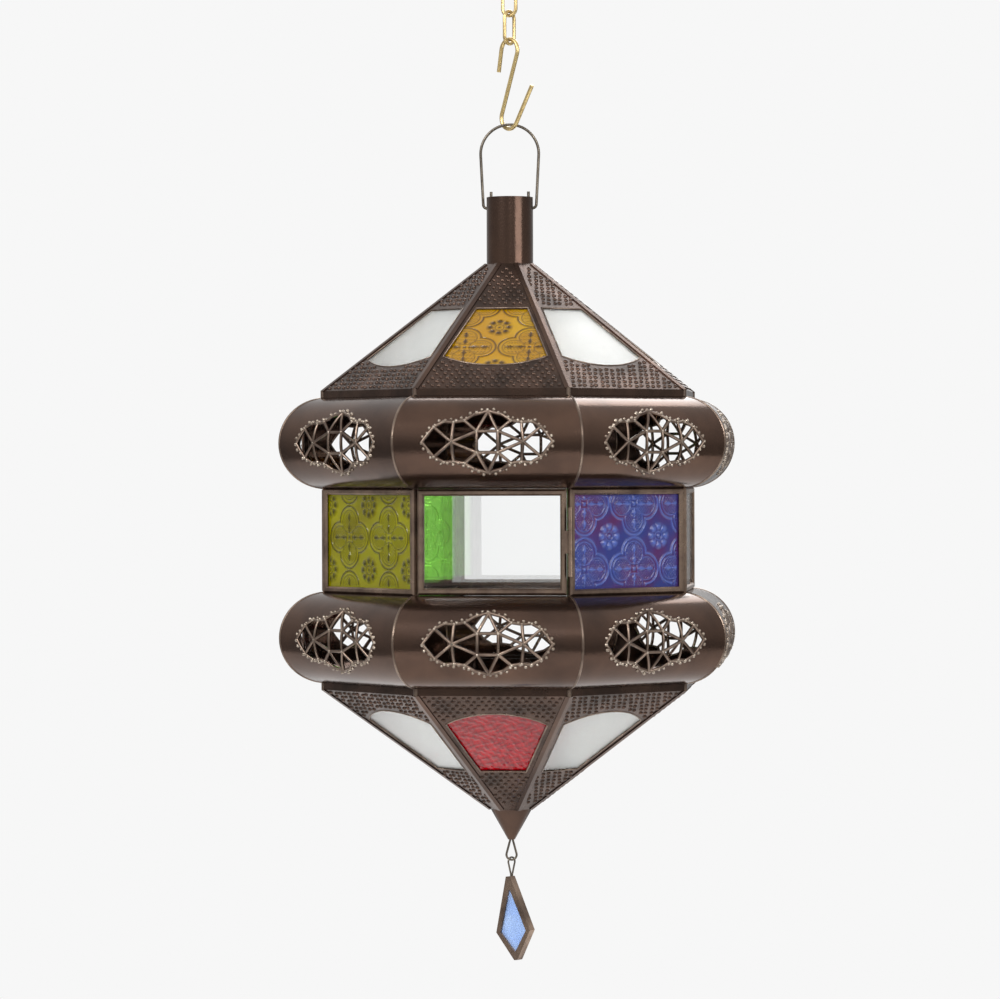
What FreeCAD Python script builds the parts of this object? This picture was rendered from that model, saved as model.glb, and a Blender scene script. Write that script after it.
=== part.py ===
import FreeCAD, Part
import math
import os
import re

import Sketcher

# Hanging candle lantern of tin sheet and glass, eight-sided, in millimetres.
# The origin is where the chain's upper link is held, on the inside of its top bend. +Z is up and -Y is
# the front, where the door is. The pieces of the eight sides are drawn facing -Y and turned about Z into
# their places.

SIDES = 8
HALF_SIDE = 180 / SIDES
WIRE_FLATS = 8
BULGE_FLATS = 10
CONE_FLATS = 24

# Driving dimensions: name, value, what it is
SIZES = (
    ("hang_gap", 0.4, "clearance between wires that hang in each other"),
    ("joint_gap", 0.1, "clearance between pieces that are soldered edge to edge"),
    ("sheet", 0.6, "tin sheet"),
    ("glass", 2.0, "glass panes"),
    ("link_wire", 2.0, "chain link, wire diameter"),
    ("link_length", 20.0, "chain link, outside length"),
    ("link_width", 10.0, "chain link, outside width"),
    ("upper_link_turn", -20.0, "upper link, turn about Z in degrees"),
    ("lower_link_turn", 55.0, "lower link, turn about Z in degrees"),
    ("hook_wire", 2.3, "S-hook, wire diameter"),
    ("hook_height", 52.0, "S-hook, outside height"),
    ("hook_bend", 6.4, "S-hook, bend radius at the wire's centre"),
    ("hook_turn", -40.0, "S-hook, turn about Z in degrees"),
    ("hook_upper_leg", 12.6, "S-hook, straight end of the upper bend"),
    ("hook_upper_flare", 10.0, "S-hook, lean of the upper end in degrees"),
    ("hook_lower_leg", 23.5, "S-hook, straight end of the lower bend"),
    ("hook_lower_flare", 32.0, "S-hook, lean of the lower end in degrees"),
    ("bail_wire", 1.6, "bail, wire diameter"),
    ("bail_width", 34.0, "bail, outside width of the arch"),
    ("bail_drop", 46.4, "bail, wire centre at the top down to the pivot"),
    ("bail_foot_bend", 2.2, "bail, bend radius of the feet at the wire's centre"),
    ("bail_tip", 7.0, "bail, straight tip inside the chimney"),
    ("chimney_diameter", 25.8, "chimney, outside"),
    ("chimney_height", 37.2, "chimney, rim down to the roof"),
    ("chimney_tuck", 3.0, "chimney, length tucked under the roof"),
    ("bail_hole_drop", 6.0, "chimney, rim down to the bail's holes"),
    ("bail_hole_play", 0.5, "chimney, radial play of the bail in its holes"),
    ("roof_height", 70.6, "roof, eave up to the chimney"),
    ("eave_reach", 2.45, "roof and base, eave out past the middle line of the half-round segments"),
    ("lip_height", 3.8, "roof and base, turned lip"),
    ("lip_foot", 3.4, "roof and base, foot of the lip on the half-round segments"),
    ("roof_glass_low", 20.2, "roof glass, arch from the eave along the slope"),
    ("roof_glass_corner", 27.7, "roof glass, lower corners from the eave along the slope"),
    ("roof_glass_high", 70.9, "roof glass, straight edge from the eave along the slope"),
    ("roof_glass_margin", 4.3, "roof glass, sideways from the hip"),
    ("base_height", 68.0, "base, rim down to the finial"),
    ("base_glass_low", 16.8, "base glass, arch from the rim along the slope"),
    ("base_glass_corner", 27.0, "base glass, upper corners from the rim along the slope"),
    ("base_glass_high", 72.6, "base glass, straight edge from the rim along the slope"),
    ("base_glass_margin", 4.9, "base glass, sideways from the hip"),
    ("pane_lap", 2.5, "sloping panes, lap behind the sheet"),
    ("hip_setback", 0.6, "roof and base panels, sideways from the hip"),
    ("hip_wing", 2.1, "hip strip, width of one wing"),
    ("bulge_height", 49.5, "half-round segment, height"),
    ("bulge_crown", 121.8, "half-round segment, axis to the crown"),
    ("bulge_flange", 1.6, "half-round segment, flat seam at top and bottom"),
    ("strut", 1.8, "filigree, width of a strut"),
    ("square_half", 5.6, "filigree, half side of the middle square"),
    ("wheel_reach", 19.0, "filigree, middle to a wheel's hub"),
    ("tip_reach", 34.6, "filigree, middle to a side tip"),
    ("fan_rise", 16.2, "filigree, middle to a fan's hub"),
    ("lobe_rise", 10.4, "filigree, height of a wheel's lobe"),
    ("window_height", 56.8, "windows, height"),
    ("window_reach", 2.95, "windows, front of a frame out past that middle line"),
    ("frame_bar", 3.3, "window frame, width of a bar"),
    ("frame_depth", 4.6, "window frame, depth"),
    ("frame_ease", 0.9, "window frame, easing of the front edges"),
    ("frame_setback", 1.2, "window frame, sideways from the corner"),
    ("pane_seat", 1.6, "window panes, depth in the channel"),
    ("pane_play", 0.1, "window and pendant panes, play in the channel"),
    ("door_gap", 0.5, "door, clearance all round"),
    ("hinge_pin", 1.3, "door hinge, pin diameter"),
    ("hinge_play", 0.05, "door hinge, radial play on the pin"),
    ("knuckle", 2.8, "door hinge, knuckle diameter"),
    ("knuckle_length", 12.0, "door hinge, length of a knuckle"),
    ("knuckle_gap", 0.3, "door hinge, gap between knuckles"),
    ("hinge_offset", 1.6, "door hinge, corner out to the pin"),
    ("ear_width", 3.4, "door hinge, pin to the end of an ear"),
    ("finial_diameter", 23.2, "finial, outside at the top"),
    ("finial_collar", 2.0, "finial, collar tucked into the base"),
    ("finial_height", 17.2, "finial, cone"),
    ("eye_wire", 1.2, "finial eye, wire diameter"),
    ("eye_width", 6.9, "finial eye, outside width"),
    ("eye_height", 12.0, "finial eye, cone's tip down to the bottom of the eye"),
    ("eye_tuck", 3.0, "finial eye, ends inside the cone"),
    ("loop_wire", 1.0, "pendant loop, wire diameter"),
    ("loop_width", 6.0, "pendant loop, outside width"),
    ("loop_height", 11.0, "pendant loop, top down to the pendant"),
    ("loop_tuck", 1.0, "pendant loop, straight ends on the pendant"),
    ("loop_turn", 50.0, "pendant loop, turn about Z in degrees"),
    ("leg_gap", 0.1, "finial eye and pendant loop, gap between the wire's two ends"),
    ("pendant_height", 46.4, "pendant, apex down to the tip"),
    ("pendant_width", 24.8, "pendant, across the side corners"),
    ("pendant_shoulder", 30.5, "pendant, apex down to the side corners"),
    ("pendant_depth", 4.2, "pendant, channel frame front to back"),
    ("pendant_apex", 3.0, "pendant, flat at the apex"),
    ("pendant_tip", 2.3, "pendant, flat at the tip"),
    ("pendant_bar", 3.1, "pendant, channel frame beside the glass"),
    ("pendant_seat", 1.4, "pendant, depth of the glass in the channel"),
    ("pendant_turn", -35.0, "pendant, turn about Z in degrees"),
    ("pendant_lean", 7.0, "pendant, sideways lean in degrees"),
    ("pendant_shift", 1.0, "pendant, apex sideways from the loop"),
    ("strap_width", 14.0, "candle strap, width"),
    ("strap_thick", 0.8, "candle strap, thickness"),
    ("strap_tab", 2.6, "candle strap, bent ends"),
    ("cup_diameter", 42.0, "candle cup, outside"),
    ("cup_height", 13.0, "candle cup, height"),
)

# Radii that follow from the half-round segments, which carry the roof, the windows and the base
FOLLOWING = (
    ("eave_inradius", "=bulge_crown - bulge_height / 2 + eave_reach", "axis to the middle of an eave"),
    ("window_inradius", "=bulge_crown - bulge_height / 2 + window_reach", "axis to the front of a frame"),
)

doc = FreeCAD.newDocument("candle_lantern")
sheet = doc.addObject("Spreadsheet::Sheet", "Sizes")
for row, (alias, number, note) in enumerate(SIZES + FOLLOWING, start=1):
    sheet.set(f"A{row}", alias)
    sheet.set(f"B{row}", str(number))
    sheet.set(f"C{row}", note)
    sheet.setAlias(f"B{row}", alias)
doc.recompute()
size = {alias: float(sheet.get(alias)) for alias, number, note in SIZES + FOLLOWING}
nodes = {}


# Formulas over the sheet, written with the plain names above

def formula(text):
    """The text with every size name pointed at its cell."""
    return re.sub(r"[a-z]\w*", lambda word: f"Sizes.{word[0]}" if word[0] in size else word[0], text)


def value(text):
    """The number that a formula gives now."""
    return float(sheet.evalExpression(formula(text)))


def bind(thing, prop, text):
    """Ties a property to a formula."""
    thing.setExpression(prop, formula(text))


# Sketches

def new_body(label, turn=0.0, level=0.0):
    """An empty body, turned about Z and set at a level."""
    body = doc.addObject("PartDesign::Body", label)
    body.Label = label
    body.Placement = FreeCAD.Placement(
        FreeCAD.Vector(0, 0, level),
        FreeCAD.Rotation(FreeCAD.Vector(0, 0, 1), turn),
    )
    return body


def origin_plane(body, plane):
    """One of the body's three origin planes."""
    return next(item for item in body.Origin.OriginFeatures if item.Role == f"{plane}_Plane")


def new_sketch(body, plane, offset="0"):
    """An empty sketch on one of the body's origin planes, moved along the plane's normal."""
    sketch = body.newObject("Sketcher::SketchObject", f"{body.Name}_{plane}")
    sketch.AttachmentSupport = [(origin_plane(body, plane), "")]
    sketch.MapMode = "FlatFace"
    bind(sketch, "AttachmentOffset.Base.z", offset)
    return sketch


def draw(sketch, corners, closed=True):
    """Draws an outline through corners given as pairs of formulas, each held by its two coordinates."""
    points = [FreeCAD.Vector(value(x), value(y), 0) for x, y in corners]
    ends = points[1:] + points[:1] if closed else points[1:]
    sides = [sketch.addGeometry(Part.LineSegment(start, end)) for start, end in zip(points, ends)]
    places = [(side, 1) for side in sides]
    if not closed:
        places.append((sides[-1], 2))
    rules = []
    ties = []
    for (side, end), point, (x, y) in zip(places, points, corners):
        rules.append(Sketcher.Constraint("DistanceX", side, end, point.x))
        rules.append(Sketcher.Constraint("DistanceY", side, end, point.y))
        ties += [x, y]
    followers = sides[1:] + sides[:1] if closed else sides[1:]
    for side, follower in zip(sides, followers):
        rules.append(Sketcher.Constraint("Coincident", side, 2, follower, 1))
    for number, text in zip(sketch.addConstraint(rules), ties):
        bind(sketch, f"Constraints[{number}]", text)


def draw_circle(sketch, diameter, x="0", y="0"):
    """Draws a circle of a given diameter about a point."""
    place = FreeCAD.Vector(value(x), value(y), 0)
    index = sketch.addGeometry(Part.Circle(place, FreeCAD.Vector(0, 0, 1), value(diameter) / 2))
    rules = [
        Sketcher.Constraint("DistanceX", index, 3, place.x),
        Sketcher.Constraint("DistanceY", index, 3, place.y),
        Sketcher.Constraint("Diameter", index, value(diameter)),
    ]
    for number, text in zip(sketch.addConstraint(rules), (x, y, diameter)):
        bind(sketch, f"Constraints[{number}]", text)


def bend(x, y, radius, start, end, steps):
    """Points round a bend about a centre, from one angle to another in degrees, ends included."""
    angles = [f"({start} + ({end} - ({start})) * {step} / {steps})" for step in range(steps + 1)]
    return [(f"{x} + {radius} * cos({angle})", f"{y} + {radius} * sin({angle})") for angle in angles]


def rounded(diameter, flats):
    """Corners of a regular polygon about the sketch's origin."""
    half_flat = 180 / flats
    return bend("0", "0", f"{diameter} / 2", half_flat, 360 - half_flat, flats - 1)


def box_corners(half_width, half_height):
    """Corners of an upright rectangle about the sketch's origin."""
    return [
        (f"-({half_width})", f"-({half_height})"),
        (half_width, f"-({half_height})"),
        (half_width, half_height),
        (f"-({half_width})", half_height),
    ]


# Features

def pad(body, sketch, length, symmetric=False):
    """Pads a sketch along its normal, or to both sides of its plane."""
    feature = body.newObject("PartDesign::Pad", f"{body.Name}_pad")
    feature.Profile = sketch
    feature.SideType = "Symmetric" if symmetric else "One side"
    bind(feature, "Length", length)
    return feature


def pocket(body, sketch, length=None):
    """Cuts a sketch right through, or to a length centred on its plane."""
    feature = body.newObject("PartDesign::Pocket", f"{body.Name}_pocket")
    feature.Profile = sketch
    feature.SideType = "Symmetric"
    if length is None:
        feature.Type = "ThroughAll"
    else:
        bind(feature, "Length", length)
    return feature


def revolve(body, sketch):
    """Turns a sketch of the XZ plane about Z."""
    feature = body.newObject("PartDesign::Revolution", f"{body.Name}_turned")
    feature.Profile = sketch
    feature.ReferenceAxis = (sketch, ["V_Axis"])
    feature.Angle = 360.0
    return feature


def bend_wire(body, wire, route, plane="XZ", closed=False):
    """Sweeps a wire along a route in one of the body's planes."""
    path = new_sketch(body, plane)
    draw(path, route, closed=closed)
    section = body.newObject("Sketcher::SketchObject", f"{body.Name}_section")
    section.AttachmentSupport = [(path, "Edge1")]
    section.MapMode = "NormalToEdge"
    section.MapPathParameter = 0.0
    draw(section, rounded(wire, WIRE_FLATS))
    feature = body.newObject("PartDesign::AdditivePipe", f"{body.Name}_wire")
    feature.Profile = section
    feature.Spine = (path, [])
    feature.Transition = "Right corner"
    nodes[body.Label] = body


def mitre(body, setback):
    """Trims the ends of a side's piece to its two corner planes, less a sideways setback."""
    reach = "(bulge_crown + 20)"
    sketch = new_sketch(body, "XY")
    for sign in (1, -1):
        corners = [
            (f"{-sign} * ({setback})", "0"),
            (f"{sign} * ({reach} * tan({HALF_SIDE}) - ({setback}))", f"-{reach}"),
            (f"{sign} * {reach}", f"-{reach}"),
            (f"{sign} * {reach}", "0"),
        ]
        draw(sketch, corners)
    return pocket(body, sketch)


def group(label, members):
    """One node of several separate solids."""
    compound = doc.addObject("Part::Compound", label)
    compound.Label = label
    compound.Links = members
    nodes[label] = compound


def turn_of(side):
    """Degrees from the front to a side, counted towards +X."""
    return side * 360 / SIDES


# Levels down the hanging lantern, each from the one above it
link_pitch = size["link_length"] - 2 * size["link_wire"]
lower_link_middle = size["hang_gap"] - 1.5 * link_pitch
upper_link_middle = -0.5 * link_pitch
hook_crest = 2 * size["hang_gap"] - 2 * link_pitch + size["hook_wire"]
hook_foot = hook_crest - size["hook_height"]
bail_crest = hook_foot + size["hook_wire"] + size["hang_gap"] + size["bail_wire"] / 2
pivot_level = bail_crest - size["bail_drop"]
rim_level = pivot_level + size["bail_hole_drop"]
collar_level = rim_level - size["chimney_height"]
eave_level = collar_level - size["roof_height"]
upper_bulge_level = eave_level - size["lip_height"] - size["bulge_height"] / 2
window_level = upper_bulge_level - (size["bulge_height"] + size["window_height"]) / 2
lower_bulge_level = window_level - (size["bulge_height"] + size["window_height"]) / 2
base_foot_level = lower_bulge_level - size["bulge_height"] / 2
strap_level = base_foot_level - size["sheet"]
base_rim_level = base_foot_level - size["lip_height"]
finial_level = base_rim_level - size["base_height"]
tip_level = finial_level - size["finial_height"]
eye_level = tip_level - size["eye_height"] + size["eye_width"] / 2
eye_seat_level = tip_level - size["eye_height"] + size["eye_wire"] / 2
loop_crest = eye_seat_level + size["eye_wire"] / 2 + size["hang_gap"] + size["loop_wire"]
loop_level = loop_crest - size["loop_width"] / 2
pendant_level = loop_crest - size["loop_height"]


# Chain, hook and bail

def chain_link(label, turn, level):
    """Oblong link of round wire, upright in its own plane, with its seam half way up one side."""
    radius = "(link_width - link_wire) / 2"
    run = "(link_length - link_width) / 2"
    route = [(radius, "0")]
    route += bend("0", run, radius, 0, 180, 8)
    route += bend("0", f"-{run}", radius, 180, 360, 8)
    bend_wire(new_body(label, turn, level), "link_wire", route, closed=True)


def s_hook():
    """Two opposite bends joined by a slanting stem, with flared ends; drawn from the upper bend's centre."""
    span = "(hook_height - hook_wire - 2 * hook_bend)"
    slant = f"(asin(2 * hook_bend / {span}) / 1 deg)"
    upper = bend("0", "0", "hook_bend", "180 - hook_upper_flare", f"-{slant}", 9)
    lower = bend("0", f"-{span}", "hook_bend", f"180 - {slant}", "360 - hook_lower_flare", 9)
    upper_end = (
        f"{upper[0][0]} - hook_upper_leg * sin(hook_upper_flare)",
        f"{upper[0][1]} - hook_upper_leg * cos(hook_upper_flare)",
    )
    lower_end = (
        f"{lower[-1][0]} + hook_lower_leg * sin(hook_lower_flare)",
        f"{lower[-1][1]} + hook_lower_leg * cos(hook_lower_flare)",
    )
    level = hook_crest - size["hook_wire"] / 2 - size["hook_bend"]
    hook = new_body("s_hook", size["hook_turn"], level)
    bend_wire(hook, "hook_wire", [upper_end] + upper + lower + [lower_end])


def bail_handle():
    """Arch with legs tangent to it, whose feet hook through the chimney wall; drawn from the pivot."""
    wall = "(chimney_diameter - sheet) / 2"
    arch = "(bail_width - bail_wire) / 2"
    rise = f"(bail_drop - {arch} - bail_foot_bend)"
    reach = f"sqrt(({wall})^2 + {rise}^2)"
    lean = f"((acos(({arch} - bail_foot_bend) / {reach}) - atan({rise} / ({wall}))) / 1 deg)"
    left_foot = bend(f"-{wall}", "bail_foot_bend", "bail_foot_bend", 0, f"-180 - {lean}", 6)
    crest = bend("0", f"bail_drop - {arch}", arch, f"180 - {lean}", lean, 12)
    right_foot = bend(wall, "bail_foot_bend", "bail_foot_bend", lean, -180, 6)
    left_tip = (left_foot[0][0], "bail_foot_bend + bail_tip")
    right_tip = (right_foot[-1][0], "bail_foot_bend + bail_tip")
    route = [left_tip] + left_foot + crest + right_foot + [right_tip]
    bend_wire(new_body("bail_handle", 0, pivot_level), "bail_wire", route)


def chimney_tube():
    """Rolled tube, open at both ends, with two holes for the bail; drawn from the bail's pivot."""
    body = new_body("chimney_tube", 0, pivot_level)
    ring = new_sketch(body, "XY", "bail_hole_drop - chimney_height - chimney_tuck")
    draw_circle(ring, "chimney_diameter")
    draw_circle(ring, "chimney_diameter - 2 * sheet")
    pad(body, ring, "chimney_height + chimney_tuck")
    holes = new_sketch(body, "YZ")
    draw_circle(holes, "bail_wire + 2 * bail_hole_play")
    pocket(body, holes)
    nodes["chimney_tube"] = body


# Roof and base: panels, panes and hip strips

class Slope:
    """One of the two eight-sided pyramids, drawn from the corner where its lip meets the slope.

    The roof rises from its lip and the base falls from it, so sign is 1 or -1.
    """

    def __init__(self, name, sign, level, height, neck):
        self.name = name
        self.sign = sign
        self.level = level
        self.height = height
        self.neck = f"({neck} / 2 + joint_gap)"
        self.run = f"(eave_inradius - {self.neck})"
        self.slant = f"sqrt({self.run}^2 + {height}^2)"
        self.margin = f"{name}_glass_margin"
        self.low = self.radius_at(f"{name}_glass_low")
        self.corner = self.radius_at(f"{name}_glass_corner")
        self.high = self.radius_at(f"{name}_glass_high")

    def radius_at(self, distance):
        """Radius at a distance from the lip along the slope."""
        return f"(eave_inradius - ({distance}) * {self.run} / {self.slant})"

    def rise_at(self, radius, depth="0"):
        """Height at a radius, at a depth below the outer face."""
        face = f"(eave_inradius - ({radius})) * {self.height} / {self.run}"
        return f"{self.sign} * ({face} - ({depth}) * {self.slant} / {self.run})"

    def corner_at(self, radius, depth="0"):
        """Corner of a cross-section in the YZ plane."""
        return (f"-({radius})", self.rise_at(radius, depth))

    def panel(self, side):
        """Sloping sheet with a footed lip at its wide edge and an arched opening for the glass."""
        label = f"{self.name}_panel_{side + 1}"
        body = new_body(label, turn_of(side), self.level)
        section = new_sketch(body, "YZ")
        corners = [
            self.corner_at(self.neck),
            self.corner_at("eave_inradius"),
            ("-eave_inradius", f"{-self.sign} * lip_height"),
            ("-(eave_inradius - lip_foot)", f"{-self.sign} * lip_height"),
            ("-(eave_inradius - lip_foot)", f"{-self.sign} * (lip_height - sheet)"),
            ("-(eave_inradius - sheet)", f"{-self.sign} * (lip_height - sheet)"),
            self.corner_at("eave_inradius - sheet", "sheet"),
            self.corner_at(self.neck, "sheet"),
        ]
        draw(section, corners)
        pad(body, section, "2 * eave_inradius", symmetric=True)
        mitre(body, "hip_setback")
        narrow = f"({self.high} * tan({HALF_SIDE}) - {self.margin})"
        wide = f"({self.corner} * tan({HALF_SIDE}) - {self.margin})"
        sag = f"({self.low} - {self.corner})"
        radius = f"(({wide}^2 + {sag}^2) / (2 * {sag}))"
        half_arch = f"(asin({wide} / {radius}) / 1 deg)"
        arch = bend("0", f"{radius} - {self.low}", radius, f"-90 + {half_arch}", f"-90 - {half_arch}", 8)
        opening = new_sketch(body, "XY")
        draw(opening, [(f"-{narrow}", f"-{self.high}"), (narrow, f"-{self.high}")] + arch)
        pocket(body, opening)
        nodes[label] = body

    def pane(self, side):
        """Flat pane that lies against the inside of a panel and laps its opening all round."""
        body = new_body(f"{self.name}_pane_{side + 1}", turn_of(side), self.level)
        lap = f"pane_lap * {self.run} / {self.slant}"
        inner = f"({self.high} - {lap})"
        outer = f"({self.low} + {lap})"
        section = new_sketch(body, "YZ")
        corners = [
            self.corner_at(inner, "sheet"),
            self.corner_at(outer, "sheet"),
            self.corner_at(outer, "sheet + glass"),
            self.corner_at(inner, "sheet + glass"),
        ]
        draw(section, corners)
        pad(body, section, "2 * eave_inradius", symmetric=True)
        mitre(body, f"{self.margin} - pane_lap")
        return body

    def hip_strip(self, side):
        """Strip folded along a hip, its two wings flat on the panels either side."""
        run = value(self.run) / math.cos(math.radians(HALF_SIDE))
        rise = self.sign * value(self.height)
        along = FreeCAD.Vector(0, -run, -rise)
        square = f"({self.run} / cos({HALF_SIDE}))"
        pitch = f"atan({self.height} / {self.run})"
        hip_pitch = f"atan({self.height} / {square})"
        both = f"sin({pitch}) * sin({hip_pitch}) * cos({HALF_SIDE}) + cos({pitch}) * cos({hip_pitch})"
        fold = f"acos({both})"
        body = new_body(f"{self.name}_hip_strip_{side + 1}")
        section = new_sketch(body, "XY")
        wing_x = f"hip_wing * cos({fold})"
        wing_y = f"hip_wing * sin({fold})"
        corners = [
            ("0", "0"),
            (wing_x, f"-{wing_y}"),
            (f"{wing_x} + sheet * sin({fold})", f"-{wing_y} + sheet * cos({fold})"),
            ("0", f"sheet / cos({fold})"),
            (f"-({wing_x}) - sheet * sin({fold})", f"-{wing_y} + sheet * cos({fold})"),
            (f"-({wing_x})", f"-{wing_y}"),
        ]
        draw(section, corners)
        pad(body, section, f"sqrt({square}^2 + {self.height}^2)")
        outward = FreeCAD.Vector(0, -rise * self.sign, run * self.sign)
        across = outward.cross(along)
        start = FreeCAD.Vector(0, -value(self.neck) / math.cos(math.radians(HALF_SIDE)), rise)
        upright = FreeCAD.Placement(start, FreeCAD.Rotation(across, outward, along, "ZXY"))
        place = FreeCAD.Rotation(FreeCAD.Vector(0, 0, 1), turn_of(side) + HALF_SIDE)
        body.Placement = FreeCAD.Placement(FreeCAD.Vector(0, 0, self.level), place).multiply(upright)
        return body

    def build(self, tint):
        """All panels, panes and hip strips; returns the clear panes."""
        for side in range(SIDES):
            self.panel(side)
        panes = [self.pane(side) for side in range(SIDES)]
        group(f"{self.name}_{tint}_panes", panes[0::2])
        group(f"{self.name}_hip_strips", [self.hip_strip(side) for side in range(SIDES)])
        return panes[1::2]


# Half-round segments with their pierced filigree

def filigree_cells():
    """The cells between the struts, each a list of corners across (u) and up (v) from a segment's middle.

    The pattern is a middle square, a spoked wheel to either side of it and a fan above and below it.
    """
    square = (size["square_half"], size["square_half"])
    hub = (size["wheel_reach"], 0)
    fan = (0, size["fan_rise"])
    tip = (size["tip_reach"], 0)
    lobe = size["lobe_rise"]
    notch = ((square[0] + hub[0]) / 2, 1.08 * lobe)
    crest = (hub[0] + 0.2 * lobe, 1.05 * lobe)
    spoke_end = (hub[0] + 0.6 * (tip[0] - hub[0]), 0.76 * lobe)

    def below(point):
        return (point[0], -point[1])

    middle = [square, (-square[0], square[1]), (-square[0], -square[1]), below(square)]
    upper_fan = [fan, middle[1], square]
    lower_fan = [below(point) for point in upper_fan]
    inner_spokes = [hub, crest, notch, square]
    outer_spokes = [hub, spoke_end, crest]
    wheel = [
        [hub, square, below(square)],
        [hub, spoke_end, tip, below(spoke_end)],
        inner_spokes,
        outer_spokes,
        [below(point) for point in inner_spokes],
        [below(point) for point in outer_spokes],
    ]
    other_wheel = [[(-u, v) for u, v in cell] for cell in wheel]
    return [middle, upper_fan, lower_fan] + wheel + other_wheel


def filigree_cutter(label):
    """Prisms of the filigree's windows: the cells drawn in by half a strut, through the round front."""
    front = size["bulge_crown"] + size["sheet"]
    depth = size["bulge_height"] / 2
    prisms = []
    for cell in filigree_cells():
        corners = [FreeCAD.Vector(u, -front, v) for u, v in cell]
        outline = Part.Face(Part.makePolygon(corners + corners[:1]))
        window = outline.makeOffset2D(-size["strut"] / 2, 2)
        prisms.append(Part.Face(window.Wires).extrude(FreeCAD.Vector(0, depth, 0)))
    cutter = doc.addObject("Part::Feature", label)
    cutter.Shape = Part.Compound(prisms)
    return cutter


def bulge(ring, side, level):
    """Half-round segment of sheet, flanged at top and bottom, mitred at both ends and pierced."""
    label = f"{ring}_bulge_{side + 1}"
    radius = "(bulge_height / 2)"
    middle = f"(bulge_crown - {radius})"
    seam = f"({middle} - bulge_flange)"
    outside = bend(f"-{middle}", "0", radius, 90, 270, BULGE_FLATS)
    inside = bend(f"-{middle}", "0", f"({radius} - sheet)", 270, 90, BULGE_FLATS)
    lower_flange = [(f"-{seam}", f"-{radius}"), (f"-{seam}", f"-{radius} + sheet")]
    upper_flange = [(f"-{seam}", f"{radius} - sheet"), (f"-{seam}", radius)]
    blank = new_body(f"{label}_blank", turn_of(side), level)
    section = new_sketch(blank, "YZ")
    draw(section, outside + lower_flange + inside + upper_flange)
    pad(blank, section, "2 * bulge_crown", symmetric=True)
    mitre(blank, f"joint_gap / 2 / cos({HALF_SIDE})")
    cutter = filigree_cutter(f"{label}_windows")
    cutter.Placement = blank.Placement
    pierced = doc.addObject("Part::Cut", label)
    pierced.Label = label
    pierced.Base = blank
    pierced.Tool = cutter
    nodes[label] = pierced


# Windows and door

def channel_frame(label, side, gap):
    """Frame of folded channel with eased front edges and a groove for its pane, less a gap all round."""
    body = new_body(label, turn_of(side), window_level)
    half_width = f"(window_inradius * tan({HALF_SIDE}) - frame_setback - {gap})"
    half_height = f"(window_height / 2 - {gap})"
    back = "window_inradius - frame_depth"
    outer = new_sketch(body, "XZ", back)
    draw(outer, box_corners(half_width, half_height))
    draw(outer, box_corners(f"{half_width} - frame_bar", f"{half_height} - frame_bar"))
    pad(body, outer, "frame_depth")
    groove = new_sketch(body, "XZ", "window_inradius - frame_depth / 2")
    grow = "pane_seat - frame_bar"
    draw(groove, box_corners(f"{half_width} + {grow}", f"{half_height} + {grow}"))
    pocket(body, groove, "glass + pane_play")
    trimmed = mitre(body, f"({gap} + joint_gap) / cos({HALF_SIDE})")
    doc.recompute()
    front = -size["window_inradius"]
    edges = [
        f"Edge{number}"
        for number, edge in enumerate(trimmed.Shape.Edges, start=1)
        if all(abs(vertex.Point.y - front) < size["joint_gap"] for vertex in edge.Vertexes)
    ]
    easing = body.newObject("PartDesign::Chamfer", f"{body.Name}_easing")
    easing.Base = (trimmed, edges)
    bind(easing, "Size", "frame_ease")
    return body


def window_pane(label, side, gap):
    """Pane seated in the groove of a frame."""
    body = new_body(label, turn_of(side), window_level)
    grow = "pane_seat - frame_bar - pane_play"
    half_width = f"window_inradius * tan({HALF_SIDE}) - frame_setback - {gap} + {grow}"
    half_height = f"window_height / 2 - {gap} + {grow}"
    outline = new_sketch(body, "XZ", "window_inradius - (frame_depth + glass) / 2")
    draw(outline, box_corners(half_width, half_height))
    pad(body, outline, "glass")
    return body


def hinge_ear(label, number, hole, mirrored):
    """Knuckle with an ear that lies on a frame's face, on the hinge's axis at the door's right edge."""
    pitch = "(knuckle_length + knuckle_gap)"
    foot = f"({number} - 1) * {pitch} - knuckle_length / 2"
    corner = math.radians(HALF_SIDE)
    across = size["window_inradius"] * math.tan(corner) + size["hinge_offset"] * math.sin(corner)
    out = size["window_inradius"] + size["hinge_offset"] * math.cos(corner)
    axis = FreeCAD.Vector(across, -out, window_level + value(foot))
    face_drop = f"(hinge_offset * cos({HALF_SIDE}))"
    barrel = doc.addObject("Part::Cylinder", f"{label}_barrel")
    bind(barrel, "Radius", "knuckle / 2")
    bind(barrel, "Height", "knuckle_length")
    ear = doc.addObject("Part::Box", f"{label}_ear")
    bind(ear, "Length", "ear_width")
    bind(ear, "Width", "sheet")
    bind(ear, "Height", "knuckle_length")
    turn = FreeCAD.Rotation(FreeCAD.Vector(0, 0, 1), turn_of(1) if mirrored else 0)
    start_x = 0 if mirrored else -size["ear_width"]
    offset = FreeCAD.Vector(start_x, value(face_drop) - size["sheet"], 0)
    barrel.Placement = FreeCAD.Placement(axis, FreeCAD.Rotation())
    ear.Placement = FreeCAD.Placement(axis, turn).multiply(FreeCAD.Placement(offset, FreeCAD.Rotation()))
    joined = doc.addObject("Part::Fuse", f"{label}_joined")
    joined.Base = barrel
    joined.Tool = ear
    bore = doc.addObject("Part::Cylinder", f"{label}_bore")
    bind(bore, "Radius", hole)
    bind(bore, "Height", "knuckle_length")
    bore.Placement = barrel.Placement
    drilled = doc.addObject("Part::Cut", label)
    drilled.Base = joined
    drilled.Tool = bore
    return drilled


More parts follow.
